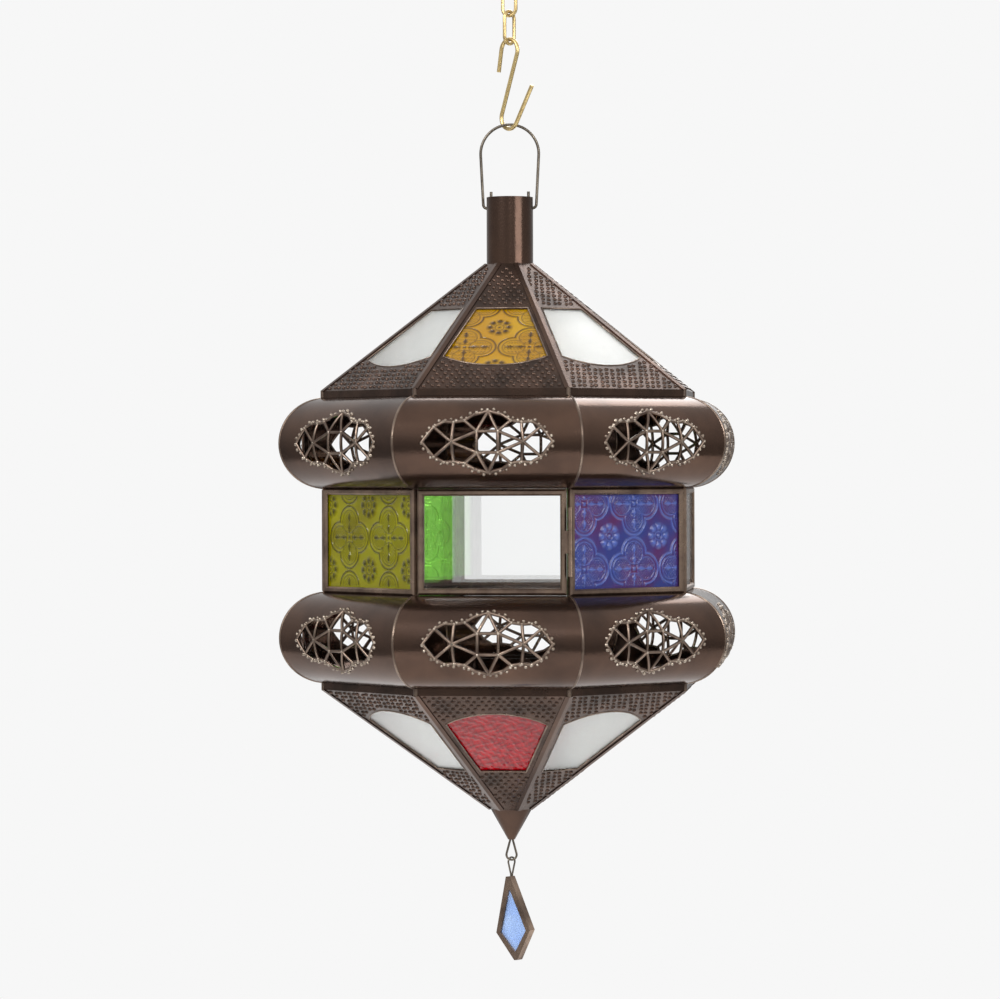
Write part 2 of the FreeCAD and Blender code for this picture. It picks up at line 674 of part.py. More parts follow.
def door_hinge():
    """Three knuckles on one pin: the outer two on the frame beside the door, the middle one on the door."""
    fixed = [hinge_ear(f"frame_ear_{number}", number, "hinge_pin / 2", True) for number in (0, 2)]
    moving = hinge_ear("door_hinge_ear", 1, "hinge_pin / 2 + hinge_play", False)
    pin = doc.addObject("Part::Cylinder", "door_hinge_pin")
    bind(pin, "Radius", "hinge_pin / 2")
    bind(pin, "Height", "3 * knuckle_length + 2 * knuckle_gap")
    pin.Placement = fixed[0].Tool.Placement
    pin.Label = "door_hinge_pin"
    group("frame_hinge_ears", fixed)
    nodes["door_hinge_ear"] = moving
    nodes["door_hinge_pin"] = pin


def windows():
    """The door at the front, seven fixed windows round the rest, and their panes."""
    nodes["door_frame"] = channel_frame("door_frame", 0, "door_gap")
    nodes["door_pane"] = window_pane("door_pane", 0, "door_gap")
    group("window_frames", [channel_frame(f"window_frame_{side + 1}", side, "0") for side in range(1, SIDES)])
    tints = {1: "blue", 3: "red", 5: "green", 7: "yellow"}
    for side, tint in tints.items():
        nodes[f"window_{tint}_pane"] = window_pane(f"window_{tint}_pane", side, "0")
    clear = [window_pane(f"window_clear_pane_{side + 1}", side, "0") for side in range(2, SIDES, 2)]
    group("window_clear_panes", clear)
    door_hinge()


# Finial, eye and pendant

def cone_body(label, rim, tip):
    """Cone of flats below the base with a straight collar above it, solid."""
    body = new_body(label, 0, finial_level)
    for length, downwards in (("finial_collar", False), ("finial_height", True)):
        outline = new_sketch(body, "XY")
        draw(outline, rounded(rim, CONE_FLATS))
        flats = pad(body, outline, length)
        flats.Reversed = downwards
        flats.Refine = False
    doc.recompute()
    faces = [
        f"Face{number}"
        for number, face in enumerate(flats.Shape.Faces, start=1)
        if abs(face.normalAt(0, 0).z) < 0.5 and face.CenterOfMass.z < 0
    ]
    cone = body.newObject("PartDesign::Draft", f"{label}_cone")
    cone.Base = (flats, faces)
    cone.NeutralPlane = (origin_plane(body, "XY"), [""])
    cone.Reversed = True
    bind(cone, "Angle", f"atan(({rim} - {tip}) * cos(180 / {CONE_FLATS}) / 2 / finial_height)")
    return body


def finial_cone():
    """Rolled cone with a collar tucked into the base, and a hole in its tip for the eye's two ends."""
    hole = "(2 * eye_wire + leg_gap + 2 * joint_gap)"
    cone = doc.addObject("Part::Cut", "finial_cone")
    cone.Label = "finial_cone"
    cone.Base = cone_body("finial_outside", "finial_diameter", f"({hole} + 2 * sheet)")
    cone.Tool = cone_body("finial_inside", "(finial_diameter - 2 * sheet)", hole)
    nodes["finial_cone"] = cone


def eyelet(width, wire, length, tuck):
    """Route of a wire bent round an eye, its ends brought side by side at a length and run on by a tuck."""
    radius = f"(({width} - {wire}) / 2)"
    side = f"(({wire} + leg_gap) / 2)"
    tangent = f"((atan({length} / {side}) - acos({radius} / sqrt({side}^2 + {length}^2))) / 1 deg)"
    eye = bend("0", "0", radius, tangent, f"-180 - {tangent}", 10)
    right = [(side, f"{length} + {tuck}"), (side, length)]
    left = [(f"-{side}", length), (f"-{side}", f"{length} + {tuck}")]
    return right + eye + left


def finial_eye():
    """Wire eye whose two ends go up into the finial's tip."""
    body = new_body("finial_eye", 0, eye_level)
    route = eyelet("eye_width", "eye_wire", "(eye_height - eye_width / 2)", "eye_tuck")
    bend_wire(body, "eye_wire", route)


def kite_corners(apex, top, half_width, shoulder, tip, bottom):
    """Corners of a kite with a flat at its apex and at its tip, drawn downwards from the apex."""
    return [
        (f"-({apex})", f"-({top})"),
        (apex, f"-({top})"),
        (half_width, f"-({shoulder})"),
        (tip, f"-({bottom})"),
        (f"-({tip})", f"-({bottom})"),
        (f"-({half_width})", f"-({shoulder})"),
    ]


def pendant():
    """Kite of channel with a pane in it, hung by a wire loop from the finial's eye."""
    loop = new_body("pendant_loop", size["loop_turn"], loop_level)
    length = "(loop_height - loop_width / 2 - loop_tuck)"
    upright = eyelet("loop_width", "loop_wire", length, "loop_tuck")
    bend_wire(loop, "loop_wire", [(x, f"-({y})") for x, y in upright])

    turn = FreeCAD.Rotation(FreeCAD.Vector(0, 0, 1), size["pendant_turn"])
    top = FreeCAD.Vector(0, 0, pendant_level)
    lean = FreeCAD.Rotation(FreeCAD.Vector(0, 1, 0), -size["pendant_lean"])
    drop = (size["pendant_shift"] + size["loop_wire"] / 2) * math.sin(math.radians(size["pendant_lean"]))
    shift = FreeCAD.Vector(-size["pendant_shift"], 0, -drop)
    hung = FreeCAD.Placement(top, turn).multiply(FreeCAD.Placement(shift, lean))
    frame = new_body("pendant_frame")
    outer = new_sketch(frame, "XZ")
    draw(outer, kite_corners("pendant_apex / 2", "0", "pendant_width / 2", "pendant_shoulder",
                             "pendant_tip / 2", "pendant_height"))
    bar = "pendant_bar"
    opening = ("pendant_apex / 8", f"2.4 * {bar}", f"pendant_width / 2 - {bar}", "pendant_shoulder",
               "pendant_tip / 8", f"pendant_height - 1.5 * {bar}")
    draw(outer, kite_corners(*opening))
    pad(frame, outer, "pendant_depth", symmetric=True)
    grown = ("pendant_apex / 8 + pendant_seat / 2", f"2.4 * {bar} - pendant_seat",
             f"pendant_width / 2 - {bar} + pendant_seat", "pendant_shoulder",
             "pendant_tip / 8 + pendant_seat / 2", f"pendant_height - 1.5 * {bar} + pendant_seat")
    groove = new_sketch(frame, "XZ")
    draw(groove, kite_corners(*grown))
    pocket(frame, groove, "glass + pane_play")
    frame.Placement = hung
    nodes["pendant_frame"] = frame

    fitted = ("pendant_apex / 8 + pendant_seat / 2 - pane_play", f"2.4 * {bar} - pendant_seat + pane_play",
              f"pendant_width / 2 - {bar} + pendant_seat - pane_play", "pendant_shoulder",
              "pendant_tip / 8 + pendant_seat / 2 - pane_play",
              f"pendant_height - 1.5 * {bar} + pendant_seat - pane_play")
    pane = new_body("pendant_glass")
    outline = new_sketch(pane, "XZ")
    draw(outline, kite_corners(*fitted))
    pad(pane, outline, "glass", symmetric=True)
    pane.Placement = hung
    nodes["pendant_glass"] = pane


# Candle holder inside the base

def candle_holder():
    """Strap across the base rim with bent ends, and a cup on the middle of it."""
    strap = new_body("candle_strap", 0, strap_level)
    reach = "(eave_inradius - sheet)"
    section = new_sketch(strap, "XZ")
    corners = [
        (f"-{reach}", "0"),
        (reach, "0"),
        (reach, "-strap_tab"),
        (f"{reach} - strap_thick", "-strap_tab"),
        (f"{reach} - strap_thick", "-strap_thick"),
        (f"-{reach} + strap_thick", "-strap_thick"),
        (f"-{reach} + strap_thick", "-strap_tab"),
        (f"-{reach}", "-strap_tab"),
    ]
    draw(section, corners)
    pad(strap, section, "strap_width", symmetric=True)

    cup = new_body("candle_cup", 0, strap_level)
    rim = "cup_diameter / 2"
    profile = new_sketch(cup, "XZ")
    corners = [
        ("0", "0"),
        (rim, "0"),
        (rim, "cup_height"),
        (f"{rim} - sheet", "cup_height"),
        (f"{rim} - sheet", "sheet"),
        ("0", "sheet"),
    ]
    draw(profile, corners)
    revolve(cup, profile)
    group("candle_holder", [strap, cup])


chain_link("chain_link_upper", size["upper_link_turn"], upper_link_middle)
chain_link("chain_link_lower", size["lower_link_turn"], lower_link_middle)
s_hook()
bail_handle()
chimney_tube()
roof = Slope("roof", 1, eave_level, "roof_height", "chimney_diameter")
base = Slope("base", -1, base_rim_level, "base_height", "finial_diameter")
group("slope_clear_panes", roof.build("amber") + base.build("red"))
for side in range(SIDES):
    bulge("upper", side, upper_bulge_level)
    bulge("lower", side, lower_bulge_level)
windows()
finial_cone()
finial_eye()
pendant()
candle_holder()
doc.recompute()

for thing in doc.Objects:
    if {"Invalid", "Error"} & set(thing.State):
        raise RuntimeError(f"{thing.Label} failed: {thing.State}")
os.makedirs("parts", exist_ok=True)
for label, thing in nodes.items():
    shape = thing.Shape
    if shape.isNull() or not shape.isValid() or not shape.Solids:
        raise RuntimeError(f"{label} has no valid solid")
    shape.exportStep(os.path.join("parts", f"{label}.step"))
print(f"{len(nodes)} nodes written")
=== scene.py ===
"""Dresses the hanging candle lantern: finishes, pressed glass, filigree, pebbled sheet, wires, light and camera."""

import logging
import math
from dataclasses import dataclass
from enum import Enum
from typing import Iterable, Sequence

import bmesh
import bpy
from mathutils import Matrix, Vector


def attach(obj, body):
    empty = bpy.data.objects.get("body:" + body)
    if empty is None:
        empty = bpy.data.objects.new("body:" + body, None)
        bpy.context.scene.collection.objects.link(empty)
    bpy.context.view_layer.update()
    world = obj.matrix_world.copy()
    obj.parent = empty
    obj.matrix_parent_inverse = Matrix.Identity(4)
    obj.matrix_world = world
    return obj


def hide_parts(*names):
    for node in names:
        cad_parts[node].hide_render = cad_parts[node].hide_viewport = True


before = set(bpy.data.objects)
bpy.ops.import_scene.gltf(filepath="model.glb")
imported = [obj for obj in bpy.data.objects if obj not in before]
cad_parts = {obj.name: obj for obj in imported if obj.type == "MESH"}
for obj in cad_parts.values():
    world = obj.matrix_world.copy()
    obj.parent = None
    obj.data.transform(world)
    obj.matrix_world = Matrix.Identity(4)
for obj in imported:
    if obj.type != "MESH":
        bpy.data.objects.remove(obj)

MM = 0.001
SIDES = 8
HALF_SIDE = math.tan(math.radians(180 / SIDES))
Point = tuple[float, float]
Color = tuple[float, float, float]
LOG = logging.getLogger("lantern")


class Body(Enum):
    """The rigid bodies of the lantern."""

    CHAIN_TOP = "chain_top"
    CHAIN_LOW = "chain_low"
    HOOK = "hook"
    BAIL = "bail"
    LANTERN = "lantern"
    DOOR = "door"
    PENDANT = "pendant"


class Relief(Enum):
    """Surfaces that the glass is pressed or rolled with."""

    PRESSED = "pressed"
    HAMMERED = "hammered"


@dataclass(frozen=True)
class MetalFinish:
    """A metal with a mottled patina.

    Attributes:
        name: the material's name.
        light: colour of the worn metal.
        dark: colour of the patina.
        roughness: roughness of the worn metal.
        scale: patches of patina per metre.
        metallic: how metallic it is.
        grain: height of the fine grain.
    """

    name: str
    light: Color
    dark: Color
    roughness: float
    scale: float = 55.0
    metallic: float = 0.9
    grain: float = 0.12

    def build(self) -> bpy.types.Material:
        """The finish as a material."""
        material = bpy.data.materials.new(self.name)
        material.use_nodes = True
        tree = material.node_tree
        shader = tree.nodes["Principled BSDF"]
        shader.inputs["Metallic"].default_value = self.metallic
        patina = tree.nodes.new("ShaderNodeGroup")
        patina.node_tree = patina_group()
        patina.inputs["Light"].default_value = (*self.light, 1.0)
        patina.inputs["Dark"].default_value = (*self.dark, 1.0)
        patina.inputs["Roughness"].default_value = self.roughness
        patina.inputs["Scale"].default_value = self.scale
        bump = tree.nodes.new("ShaderNodeBump")
        bump.inputs["Strength"].default_value = self.grain
        bump.inputs["Distance"].default_value = 0.4 * MM
        tree.links.new(patina.outputs["Color"], shader.inputs["Base Color"])
        tree.links.new(patina.outputs["Roughness"], shader.inputs["Roughness"])
        tree.links.new(patina.outputs["Height"], bump.inputs["Height"])
        tree.links.new(bump.outputs["Normal"], shader.inputs["Normal"])
        return material


@dataclass(frozen=True)
class GlassFinish:
    """Glass of one colour, with painted shade along the lines of its relief and a painted highlight there on the blue
    glass.

    Attributes:
        name: the material's name.
        color: colour of the glass.
        line: colour of the painted shade along the lines of the relief, a lighter painted highlight on the blue glass.
        patch_and_show_through: second colour, in wide random patches; on the blue glass a painted purple where the red
            pane shows through.
        roughness: how much it blurs what is behind it.
        transmission: share of the light that goes through.
        alpha: share of the pane that is seen at all.
        ripple: height of the ripples in millimetres.
    """

    name: str
    color: Color
    line: Color
    patch_and_show_through: Color
    roughness: float = 0.08
    transmission: float = 0.75
    alpha: float = 1.0
    ripple: float = 0.0

    def build(self) -> bpy.types.Material:
        """The finish as a material."""
        material = bpy.data.materials.new(self.name)
        material.use_nodes = True
        tree = material.node_tree
        shader = tree.nodes["Principled BSDF"]
        shader.inputs["Roughness"].default_value = self.roughness
        shader.inputs["Transmission Weight"].default_value = self.transmission
        shader.inputs["IOR"].default_value = 1.45
        shader.inputs["Alpha"].default_value = self.alpha
        tint = tree.nodes.new("ShaderNodeGroup")
        tint.node_tree = tint_group()
        tint.inputs["Color"].default_value = (*self.color, 1.0)
        tint.inputs["Line"].default_value = (*self.line, 1.0)
        tint.inputs["Patch And Show Through"].default_value = (*self.patch_and_show_through, 1.0)
        tree.links.new(tint.outputs["Color"], shader.inputs["Base Color"])
        if self.ripple:
            bump = tree.nodes.new("ShaderNodeBump")
            bump.inputs["Distance"].default_value = self.ripple * MM
            tree.links.new(tint.outputs["Height"], bump.inputs["Height"])
            tree.links.new(bump.outputs["Normal"], shader.inputs["Normal"])
        return material


TIN = MetalFinish("bronze_tin", (0.105, 0.062, 0.044), (0.060, 0.037, 0.028), 0.13, scale=22.0)
PEBBLED = MetalFinish("pebbled_tin", (0.088, 0.053, 0.039), (0.040, 0.026, 0.020), 0.22)
BEAD = MetalFinish("bright_bead", (0.40, 0.34, 0.28), (0.17, 0.13, 0.10), 0.22, scale=160.0)
STRUT = MetalFinish("rubbed_strut", (0.24, 0.18, 0.14), (0.10, 0.07, 0.055), 0.25, scale=90.0)
CAME = MetalFinish("worn_channel", (0.30, 0.215, 0.16), (0.115, 0.08, 0.062), 0.27)
BRASS = MetalFinish("aged_brass", (0.72, 0.56, 0.26), (0.45, 0.33, 0.15), 0.26, scale=160.0)
STEEL = MetalFinish("dull_wire", (0.17, 0.145, 0.115), (0.08, 0.068, 0.055), 0.28, scale=160.0)
# Each glass's line colour is painted shade along its relief lines; on the blue glass it is a lighter painted highlight.
AMBER = GlassFinish("amber_glass", (0.46, 0.235, 0.0), (0.045, 0.018, 0.0), (0.52, 0.30, 0.0), 0.06, 0.4)
RED = GlassFinish("red_glass", (0.50, 0.0, 0.006), (0.16, 0.0, 0.003), (0.38, 0.0, 0.005), 0.10, 0.15, ripple=0.2)
YELLOW = GlassFinish("yellow_glass", (0.29, 0.27, 0.0), (0.045, 0.038, 0.0), (0.22, 0.19, 0.0), 0.06, 0.4)
GREEN = GlassFinish("green_glass", (0.30, 0.80, 0.10), (0.16, 0.50, 0.05), (0.34, 0.82, 0.14), 0.12, 0.75)
# The blue glass's purple patches are painted where the red pane shows through it.
BLUE = GlassFinish("blue_glass", (0.035, 0.05, 0.25), (0.10, 0.16, 0.52), (0.11, 0.022, 0.12), 0.06, 0.4)
CLEAR = GlassFinish("clear_glass", (0.97, 0.985, 0.98), (0.97, 0.985, 0.98), (0.97, 0.985, 0.98), 0.02, 1.0, 0.35)
# Near-white glass with a diffuse share and some blur, so it reads whitish.
FROSTED = GlassFinish("whitish_glass", (0.93, 0.94, 0.92), (0.93, 0.94, 0.92), (0.90, 0.91, 0.89), 0.22, 0.85)
PALE_BLUE = GlassFinish(
    "pale_blue_glass", (0.40, 0.55, 0.84), (0.40, 0.55, 0.84), (0.31, 0.46, 0.80), 0.12, 0.4, ripple=0.25
)


def tint_group() -> bpy.types.NodeTree:
    """Shader group that colours glass and paints shade along its relief, shared by all glass finishes.

    Returns:
        The group, with the glass colour, the painted relief-shading colour and the patch colour in, and Color and a
        ripple Height out.
    """
    existing = bpy.data.node_groups.get("Tint")
    if existing:
        return existing
    group = bpy.data.node_groups.new("Tint", "ShaderNodeTree")
    for name in ("Color", "Line", "Patch And Show Through"):
        group.interface.new_socket(name, in_out="INPUT", socket_type="NodeSocketColor")
    group.interface.new_socket("Color", in_out="OUTPUT", socket_type="NodeSocketColor")
    group.interface.new_socket("Height", in_out="OUTPUT", socket_type="NodeSocketFloat")
    nodes, links = group.nodes, group.links
    source = nodes.new("NodeGroupInput")
    result = nodes.new("NodeGroupOutput")
    place = nodes.new("ShaderNodeTexCoord")
    patches = nodes.new("ShaderNodeTexNoise")
    patches.inputs["Scale"].default_value = 38.0
    links.new(place.outputs["Object"], patches.inputs["Vector"])
    spread = nodes.new("ShaderNodeMapRange")
    spread.inputs["From Min"].default_value = 0.40
    spread.inputs["From Max"].default_value = 0.60
    links.new(patches.outputs["Fac"], spread.inputs["Value"])
    # Wide random patches of a second colour; on the blue glass they paint the purple where the red pane shows through.
    glass = nodes.new("ShaderNodeMix")
    glass.data_type = "RGBA"
    links.new(spread.outputs["Result"], glass.inputs["Factor"])
    links.new(source.outputs["Color"], glass.inputs["A"])
    links.new(source.outputs["Patch And Show Through"], glass.inputs["B"])
    # Painted shade along the relief: mixes towards the line colour where the relief attribute is high, a painted
    # highlight on the blue glass.
    relief = nodes.new("ShaderNodeAttribute")
    relief.attribute_name = "relief"
    painted_relief_shading = nodes.new("ShaderNodeMix")
    painted_relief_shading.data_type = "RGBA"
    links.new(relief.outputs["Fac"], painted_relief_shading.inputs["Factor"])
    links.new(glass.outputs["Result"], painted_relief_shading.inputs["A"])
    links.new(source.outputs["Line"], painted_relief_shading.inputs["B"])
    links.new(painted_relief_shading.outputs["Result"], result.inputs["Color"])
    ripples = nodes.new("ShaderNodeTexNoise")
    ripples.inputs["Scale"].default_value = 210.0
    links.new(place.outputs["Object"], ripples.inputs["Vector"])
    links.new(ripples.outputs["Fac"], result.inputs["Height"])
    return group


def patina_group() -> bpy.types.NodeTree:
    """Shader group that mottles a metal, shared by all metal finishes.

    Returns:
        The group, with Light, Dark, Roughness and Scale in, and Color, Roughness and Height out.
    """
    existing = bpy.data.node_groups.get("Patina")
    if existing:
        return existing
    group = bpy.data.node_groups.new("Patina", "ShaderNodeTree")
    for name, kind in (
        ("Light", "NodeSocketColor"),
        ("Dark", "NodeSocketColor"),
        ("Roughness", "NodeSocketFloat"),
        ("Scale", "NodeSocketFloat"),
    ):
        group.interface.new_socket(name, in_out="INPUT", socket_type=kind)
    for name, kind in (("Color", "NodeSocketColor"), ("Roughness", "NodeSocketFloat"), ("Height", "NodeSocketFloat")):
        group.interface.new_socket(name, in_out="OUTPUT", socket_type=kind)
    nodes, links = group.nodes, group.links
    source = nodes.new("NodeGroupInput")
    result = nodes.new("NodeGroupOutput")
    place = nodes.new("ShaderNodeTexCoord")
    mottle = nodes.new("ShaderNodeTexNoise")
    mottle.inputs["Detail"].default_value = 6.0
    mottle.inputs["Roughness"].default_value = 0.62
    links.new(place.outputs["Object"], mottle.inputs["Vector"])
    links.new(source.outputs["Scale"], mottle.inputs["Scale"])
    spread = nodes.new("ShaderNodeMapRange")
    spread.inputs["From Min"].default_value = 0.36
    spread.inputs["From Max"].default_value = 0.66
    links.new(mottle.outputs["Fac"], spread.inputs["Value"])
    blend = nodes.new("ShaderNodeMix")
    blend.data_type = "RGBA"
    links.new(spread.outputs["Result"], blend.inputs["Factor"])
    links.new(source.outputs["Dark"], blend.inputs["A"])
    links.new(source.outputs["Light"], blend.inputs["B"])
    links.new(blend.outputs["Result"], result.inputs["Color"])
    dull = nodes.new("ShaderNodeMath")
    dull.operation = "MULTIPLY_ADD"
    dull.inputs[1].default_value = -0.14
    links.new(spread.outputs["Result"], dull.inputs[0])
    links.new(source.outputs["Roughness"], dull.inputs[2])
    lift = nodes.new("ShaderNodeMath")
    lift.operation = "ADD"
    lift.inputs[1].default_value = 0.12
    links.new(dull.outputs["Value"], lift.inputs[0])
    links.new(lift.outputs["Value"], result.inputs["Roughness"])
    grain = nodes.new("ShaderNodeTexNoise")
    grain.inputs["Scale"].default_value = 900.0
    links.new(place.outputs["Object"], grain.inputs["Vector"])
    links.new(grain.outputs["Fac"], result.inputs["Height"])
    return group


class Workshop:
    """Makes pieces: keeps one material of each finish and hangs every mesh on its body."""

    def __init__(self) -> None:
        """Starts with no materials."""
        self.materials: dict[str, bpy.types.Material] = {}

    def material(self, finish: MetalFinish | GlassFinish) -> bpy.types.Material:
        """The material of a finish, built once."""
        if finish.name not in self.materials:
            self.materials[finish.name] = finish.build()
        return self.materials[finish.name]

    def piece(
        self,
        name: str,
        mesh: bmesh.types.BMesh,
        finish: MetalFinish | GlassFinish,
        body: Body,
        replaces: Sequence[str] = (),
        crease: float = 35.0,
    ) -> bpy.types.Object:
        """Turns a bmesh into a piece of the lantern.

        Args:
            name: the piece's name.
            mesh: its shape, in the row frame; freed here.
            finish: what it is made of.
            body: the body that it moves with.
            replaces: CAD nodes that it stands for.
            crease: angle in degrees past which an edge stays sharp.

        Returns:
            The new object.
        """
        data = bpy.data.meshes.new(name)
        bmesh.ops.recalc_face_normals(mesh, faces=mesh.faces)
        mesh.to_mesh(data)
        mesh.free()
        data.shade_smooth()
        data.set_sharp_from_angle(angle=math.radians(crease))
        data.materials.append(self.material(finish))
        thing = bpy.data.objects.new(name, data)
        bpy.context.scene.collection.objects.link(thing)
        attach(thing, body.value)
        if replaces:
            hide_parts(*replaces)
        LOG.info("%s: %d faces", name, len(data.polygons))
        return thing

    def dress(self, node: str, finish: MetalFinish | GlassFinish) -> None:
        """Gives a CAD node a finish."""
        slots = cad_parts[node].data.materials
        slots.clear()
        slots.append(self.material(finish))


def sweep(
    mesh: bmesh.types.BMesh,
    route: Sequence[Vector],
    radius: float,
    closed: bool = False,
    sides: int = 12,
) -> None:
    """Adds a round wire along a route.

    Args:
        mesh: the bmesh to add to.
        route: points along the wire's centre.
        radius: radius of the wire.
        closed: whether the last point joins the first.
        sides: sides of the section.
    """
    count = len(route)
    normal = None
    rings = []
    for index, point in enumerate(route):
        before = route[index - 1] if index or closed else point
        after = route[(index + 1) % count] if index < count - 1 or closed else point
        along = (after - before).normalized()
        if normal is None:
            normal = along.orthogonal().normalized()
        normal = (normal - along * normal.dot(along)).normalized()
        other = along.cross(normal)
        turns = [2 * math.pi * side / sides for side in range(sides)]
        spokes = [normal * math.cos(turn) + other * math.sin(turn) for turn in turns]
        rings.append([mesh.verts.new(point + spoke * radius) for spoke in spokes])
    pairs = list(zip(rings, rings[1:]))
    if closed:
        pairs.append((rings[-1], rings[0]))
    else:
        mesh.faces.new(rings[0][::-1])
        mesh.faces.new(rings[-1])
    for near, far in pairs:
        shift = 0
        if closed and near is rings[-1]:
            shift = min(range(sides), key=lambda step: (near[0].co - far[step].co).length)
        for side in range(sides):
            following = (side + 1) % sides
            corners = [near[side], near[following], far[(following + shift) % sides], far[(side + shift) % sides]]
            mesh.faces.new(corners)


def arc(centre: Point, radius: float, start: float, end: float, steps: int) -> list[Point]:
    """Points round an arc, from one angle to another in degrees."""
    angles = [math.radians(start + (end - start) * step / steps) for step in range(steps + 1)]
    return [(centre[0] + radius * math.cos(angle), centre[1] + radius * math.sin(angle)) for angle in angles]


def upright(points: Iterable[Point], turn: float, level: float) -> list[Vector]:
    """Points of an upright plane, turned about Z in degrees and set at a level, all in millimetres, as a route."""
    across = Vector((math.cos(math.radians(turn)), math.sin(math.radians(turn)), 0.0))
    return [(across * x + Vector((0, 0, level + z))) * MM for x, z in points]


def side_matrix(side: int) -> Matrix:
    """Turn about Z from the front to a side."""
    return Matrix.Rotation(math.radians(360 / SIDES * side), 4, "Z")


def dome(mesh: bmesh.types.BMesh, place: Vector, out: Vector, radius: float, height: float, sides: int = 7) -> None:
    """Adds a small dome that stands on a surface.

    Args:
        mesh: the bmesh to add to.
        place: the middle of its foot.
        out: the surface's normal.
        radius: radius of the foot.
        height: height above the surface.
        sides: sides of the dome.
    """
    across = out.orthogonal().normalized()
    other = out.cross(across)
    rings = []
    for share, rise in ((1.0, 0.0), (0.72, 0.68)):
        turns = [2 * math.pi * side / sides for side in range(sides)]
        spokes = [across * math.cos(turn) + other * math.sin(turn) for turn in turns]
        rings.append([mesh.verts.new(place + spoke * radius * share + out * height * rise) for spoke in spokes])
    top = mesh.verts.new(place + out * height)
    for side in range(sides):
        following = (side + 1) % sides
        mesh.faces.new((rings[0][side], rings[0][following], rings[1][following], rings[1][side]))
        mesh.faces.new((rings[1][side], rings[1][following], top))


@dataclass
class Hanging:
    """Chain, hook and bail of round wire, in millimetres."""

    link_wire: float = 2.0
    link_length: float = 20.0
    link_width: float = 10.0
    link_turns: tuple[float, float] = (-20.0, 55.0)
    link_levels: tuple[float, float] = (-8.0, -23.6)
    hook_wire: float = 2.3
    hook_bend: float = 6.4
    hook_span: float = 36.9
    hook_turn: float = -40.0
    hook_level: float = -36.45
    hook_legs: tuple[float, float] = (12.6, 23.5)
    hook_flares: tuple[float, float] = (10.0, 32.0)
    bail_wire: float = 1.6
    bail_arch: float = 16.2
    bail_drop: float = 46.4
    bail_foot: float = 2.2
    bail_tip: float = 7.0
    chimney_wall: float = 12.6
    pivot_level: float = -123.8

    def links(self, shop: Workshop) -> None:
        """Two oblong links."""
        bend = (self.link_width - self.link_wire) / 2
        run = (self.link_length - self.link_width) / 2
        outline = arc((0, run), bend, 0, 180, 16) + arc((0, -run), bend, 180, 360, 16)
        nodes = (("chain_link_upper", Body.CHAIN_TOP), ("chain_link_lower", Body.CHAIN_LOW))
        for (node, body), turn, level in zip(nodes, self.link_turns, self.link_levels):
            mesh = bmesh.new()
            sweep(mesh, upright(outline, turn, level), self.link_wire / 2 * MM, closed=True, sides=16)
            shop.piece(f"{node}_round", mesh, BRASS, body, [node])

    def hook(self, shop: Workshop) -> None:
        """S-hook with flared ends."""
        slant = math.degrees(math.asin(2 * self.hook_bend / self.hook_span))
        upper = arc((0, 0), self.hook_bend, 180 - self.hook_flares[0], -slant, 24)
        lower = arc((0, -self.hook_span), self.hook_bend, 180 - slant, 360 - self.hook_flares[1], 24)
        leans = [math.radians(flare) for flare in self.hook_flares]
        upper_end = (
            upper[0][0] - self.hook_legs[0] * math.sin(leans[0]),
            upper[0][1] - self.hook_legs[0] * math.cos(leans[0]),
        )
        lower_end = (
            lower[-1][0] + self.hook_legs[1] * math.sin(leans[1]),
            lower[-1][1] + self.hook_legs[1] * math.cos(leans[1]),
        )
        route = upright([upper_end, *upper, *lower, lower_end], self.hook_turn, self.hook_level)
        mesh = bmesh.new()
        sweep(mesh, route, self.hook_wire / 2 * MM, sides=16)
        shop.piece("s_hook_round", mesh, BRASS, Body.HOOK, ["s_hook"])

    def bail(self, shop: Workshop) -> None:
        """Arch whose feet hook through the chimney."""
        rise = self.bail_drop - self.bail_arch - self.bail_foot
        reach = math.hypot(self.chimney_wall, rise)
        lean = math.degrees(math.acos((self.bail_arch - self.bail_foot) / reach) - math.atan2(rise, self.chimney_wall))
        left = arc((-self.chimney_wall, self.bail_foot), self.bail_foot, 0, -180 - lean, 14)
        crest = arc((0, self.bail_drop - self.bail_arch), self.bail_arch, 180 - lean, lean, 36)
        right = [(-x, z) for x, z in reversed(left)]
        tips = [(x, z + self.bail_tip) for x, z in (left[0], right[-1])]
        route = upright([tips[0], *left, *crest, *right, tips[1]], 0.0, self.pivot_level)
        mesh = bmesh.new()
        sweep(mesh, route, self.bail_wire / 2 * MM, sides=14)
        shop.piece("bail_round", mesh, STEEL, Body.BAIL, ["bail_handle"])

    def build(self, shop: Workshop) -> None:
        """All of it."""
        self.links(shop)
        self.hook(shop)
        self.bail(shop)


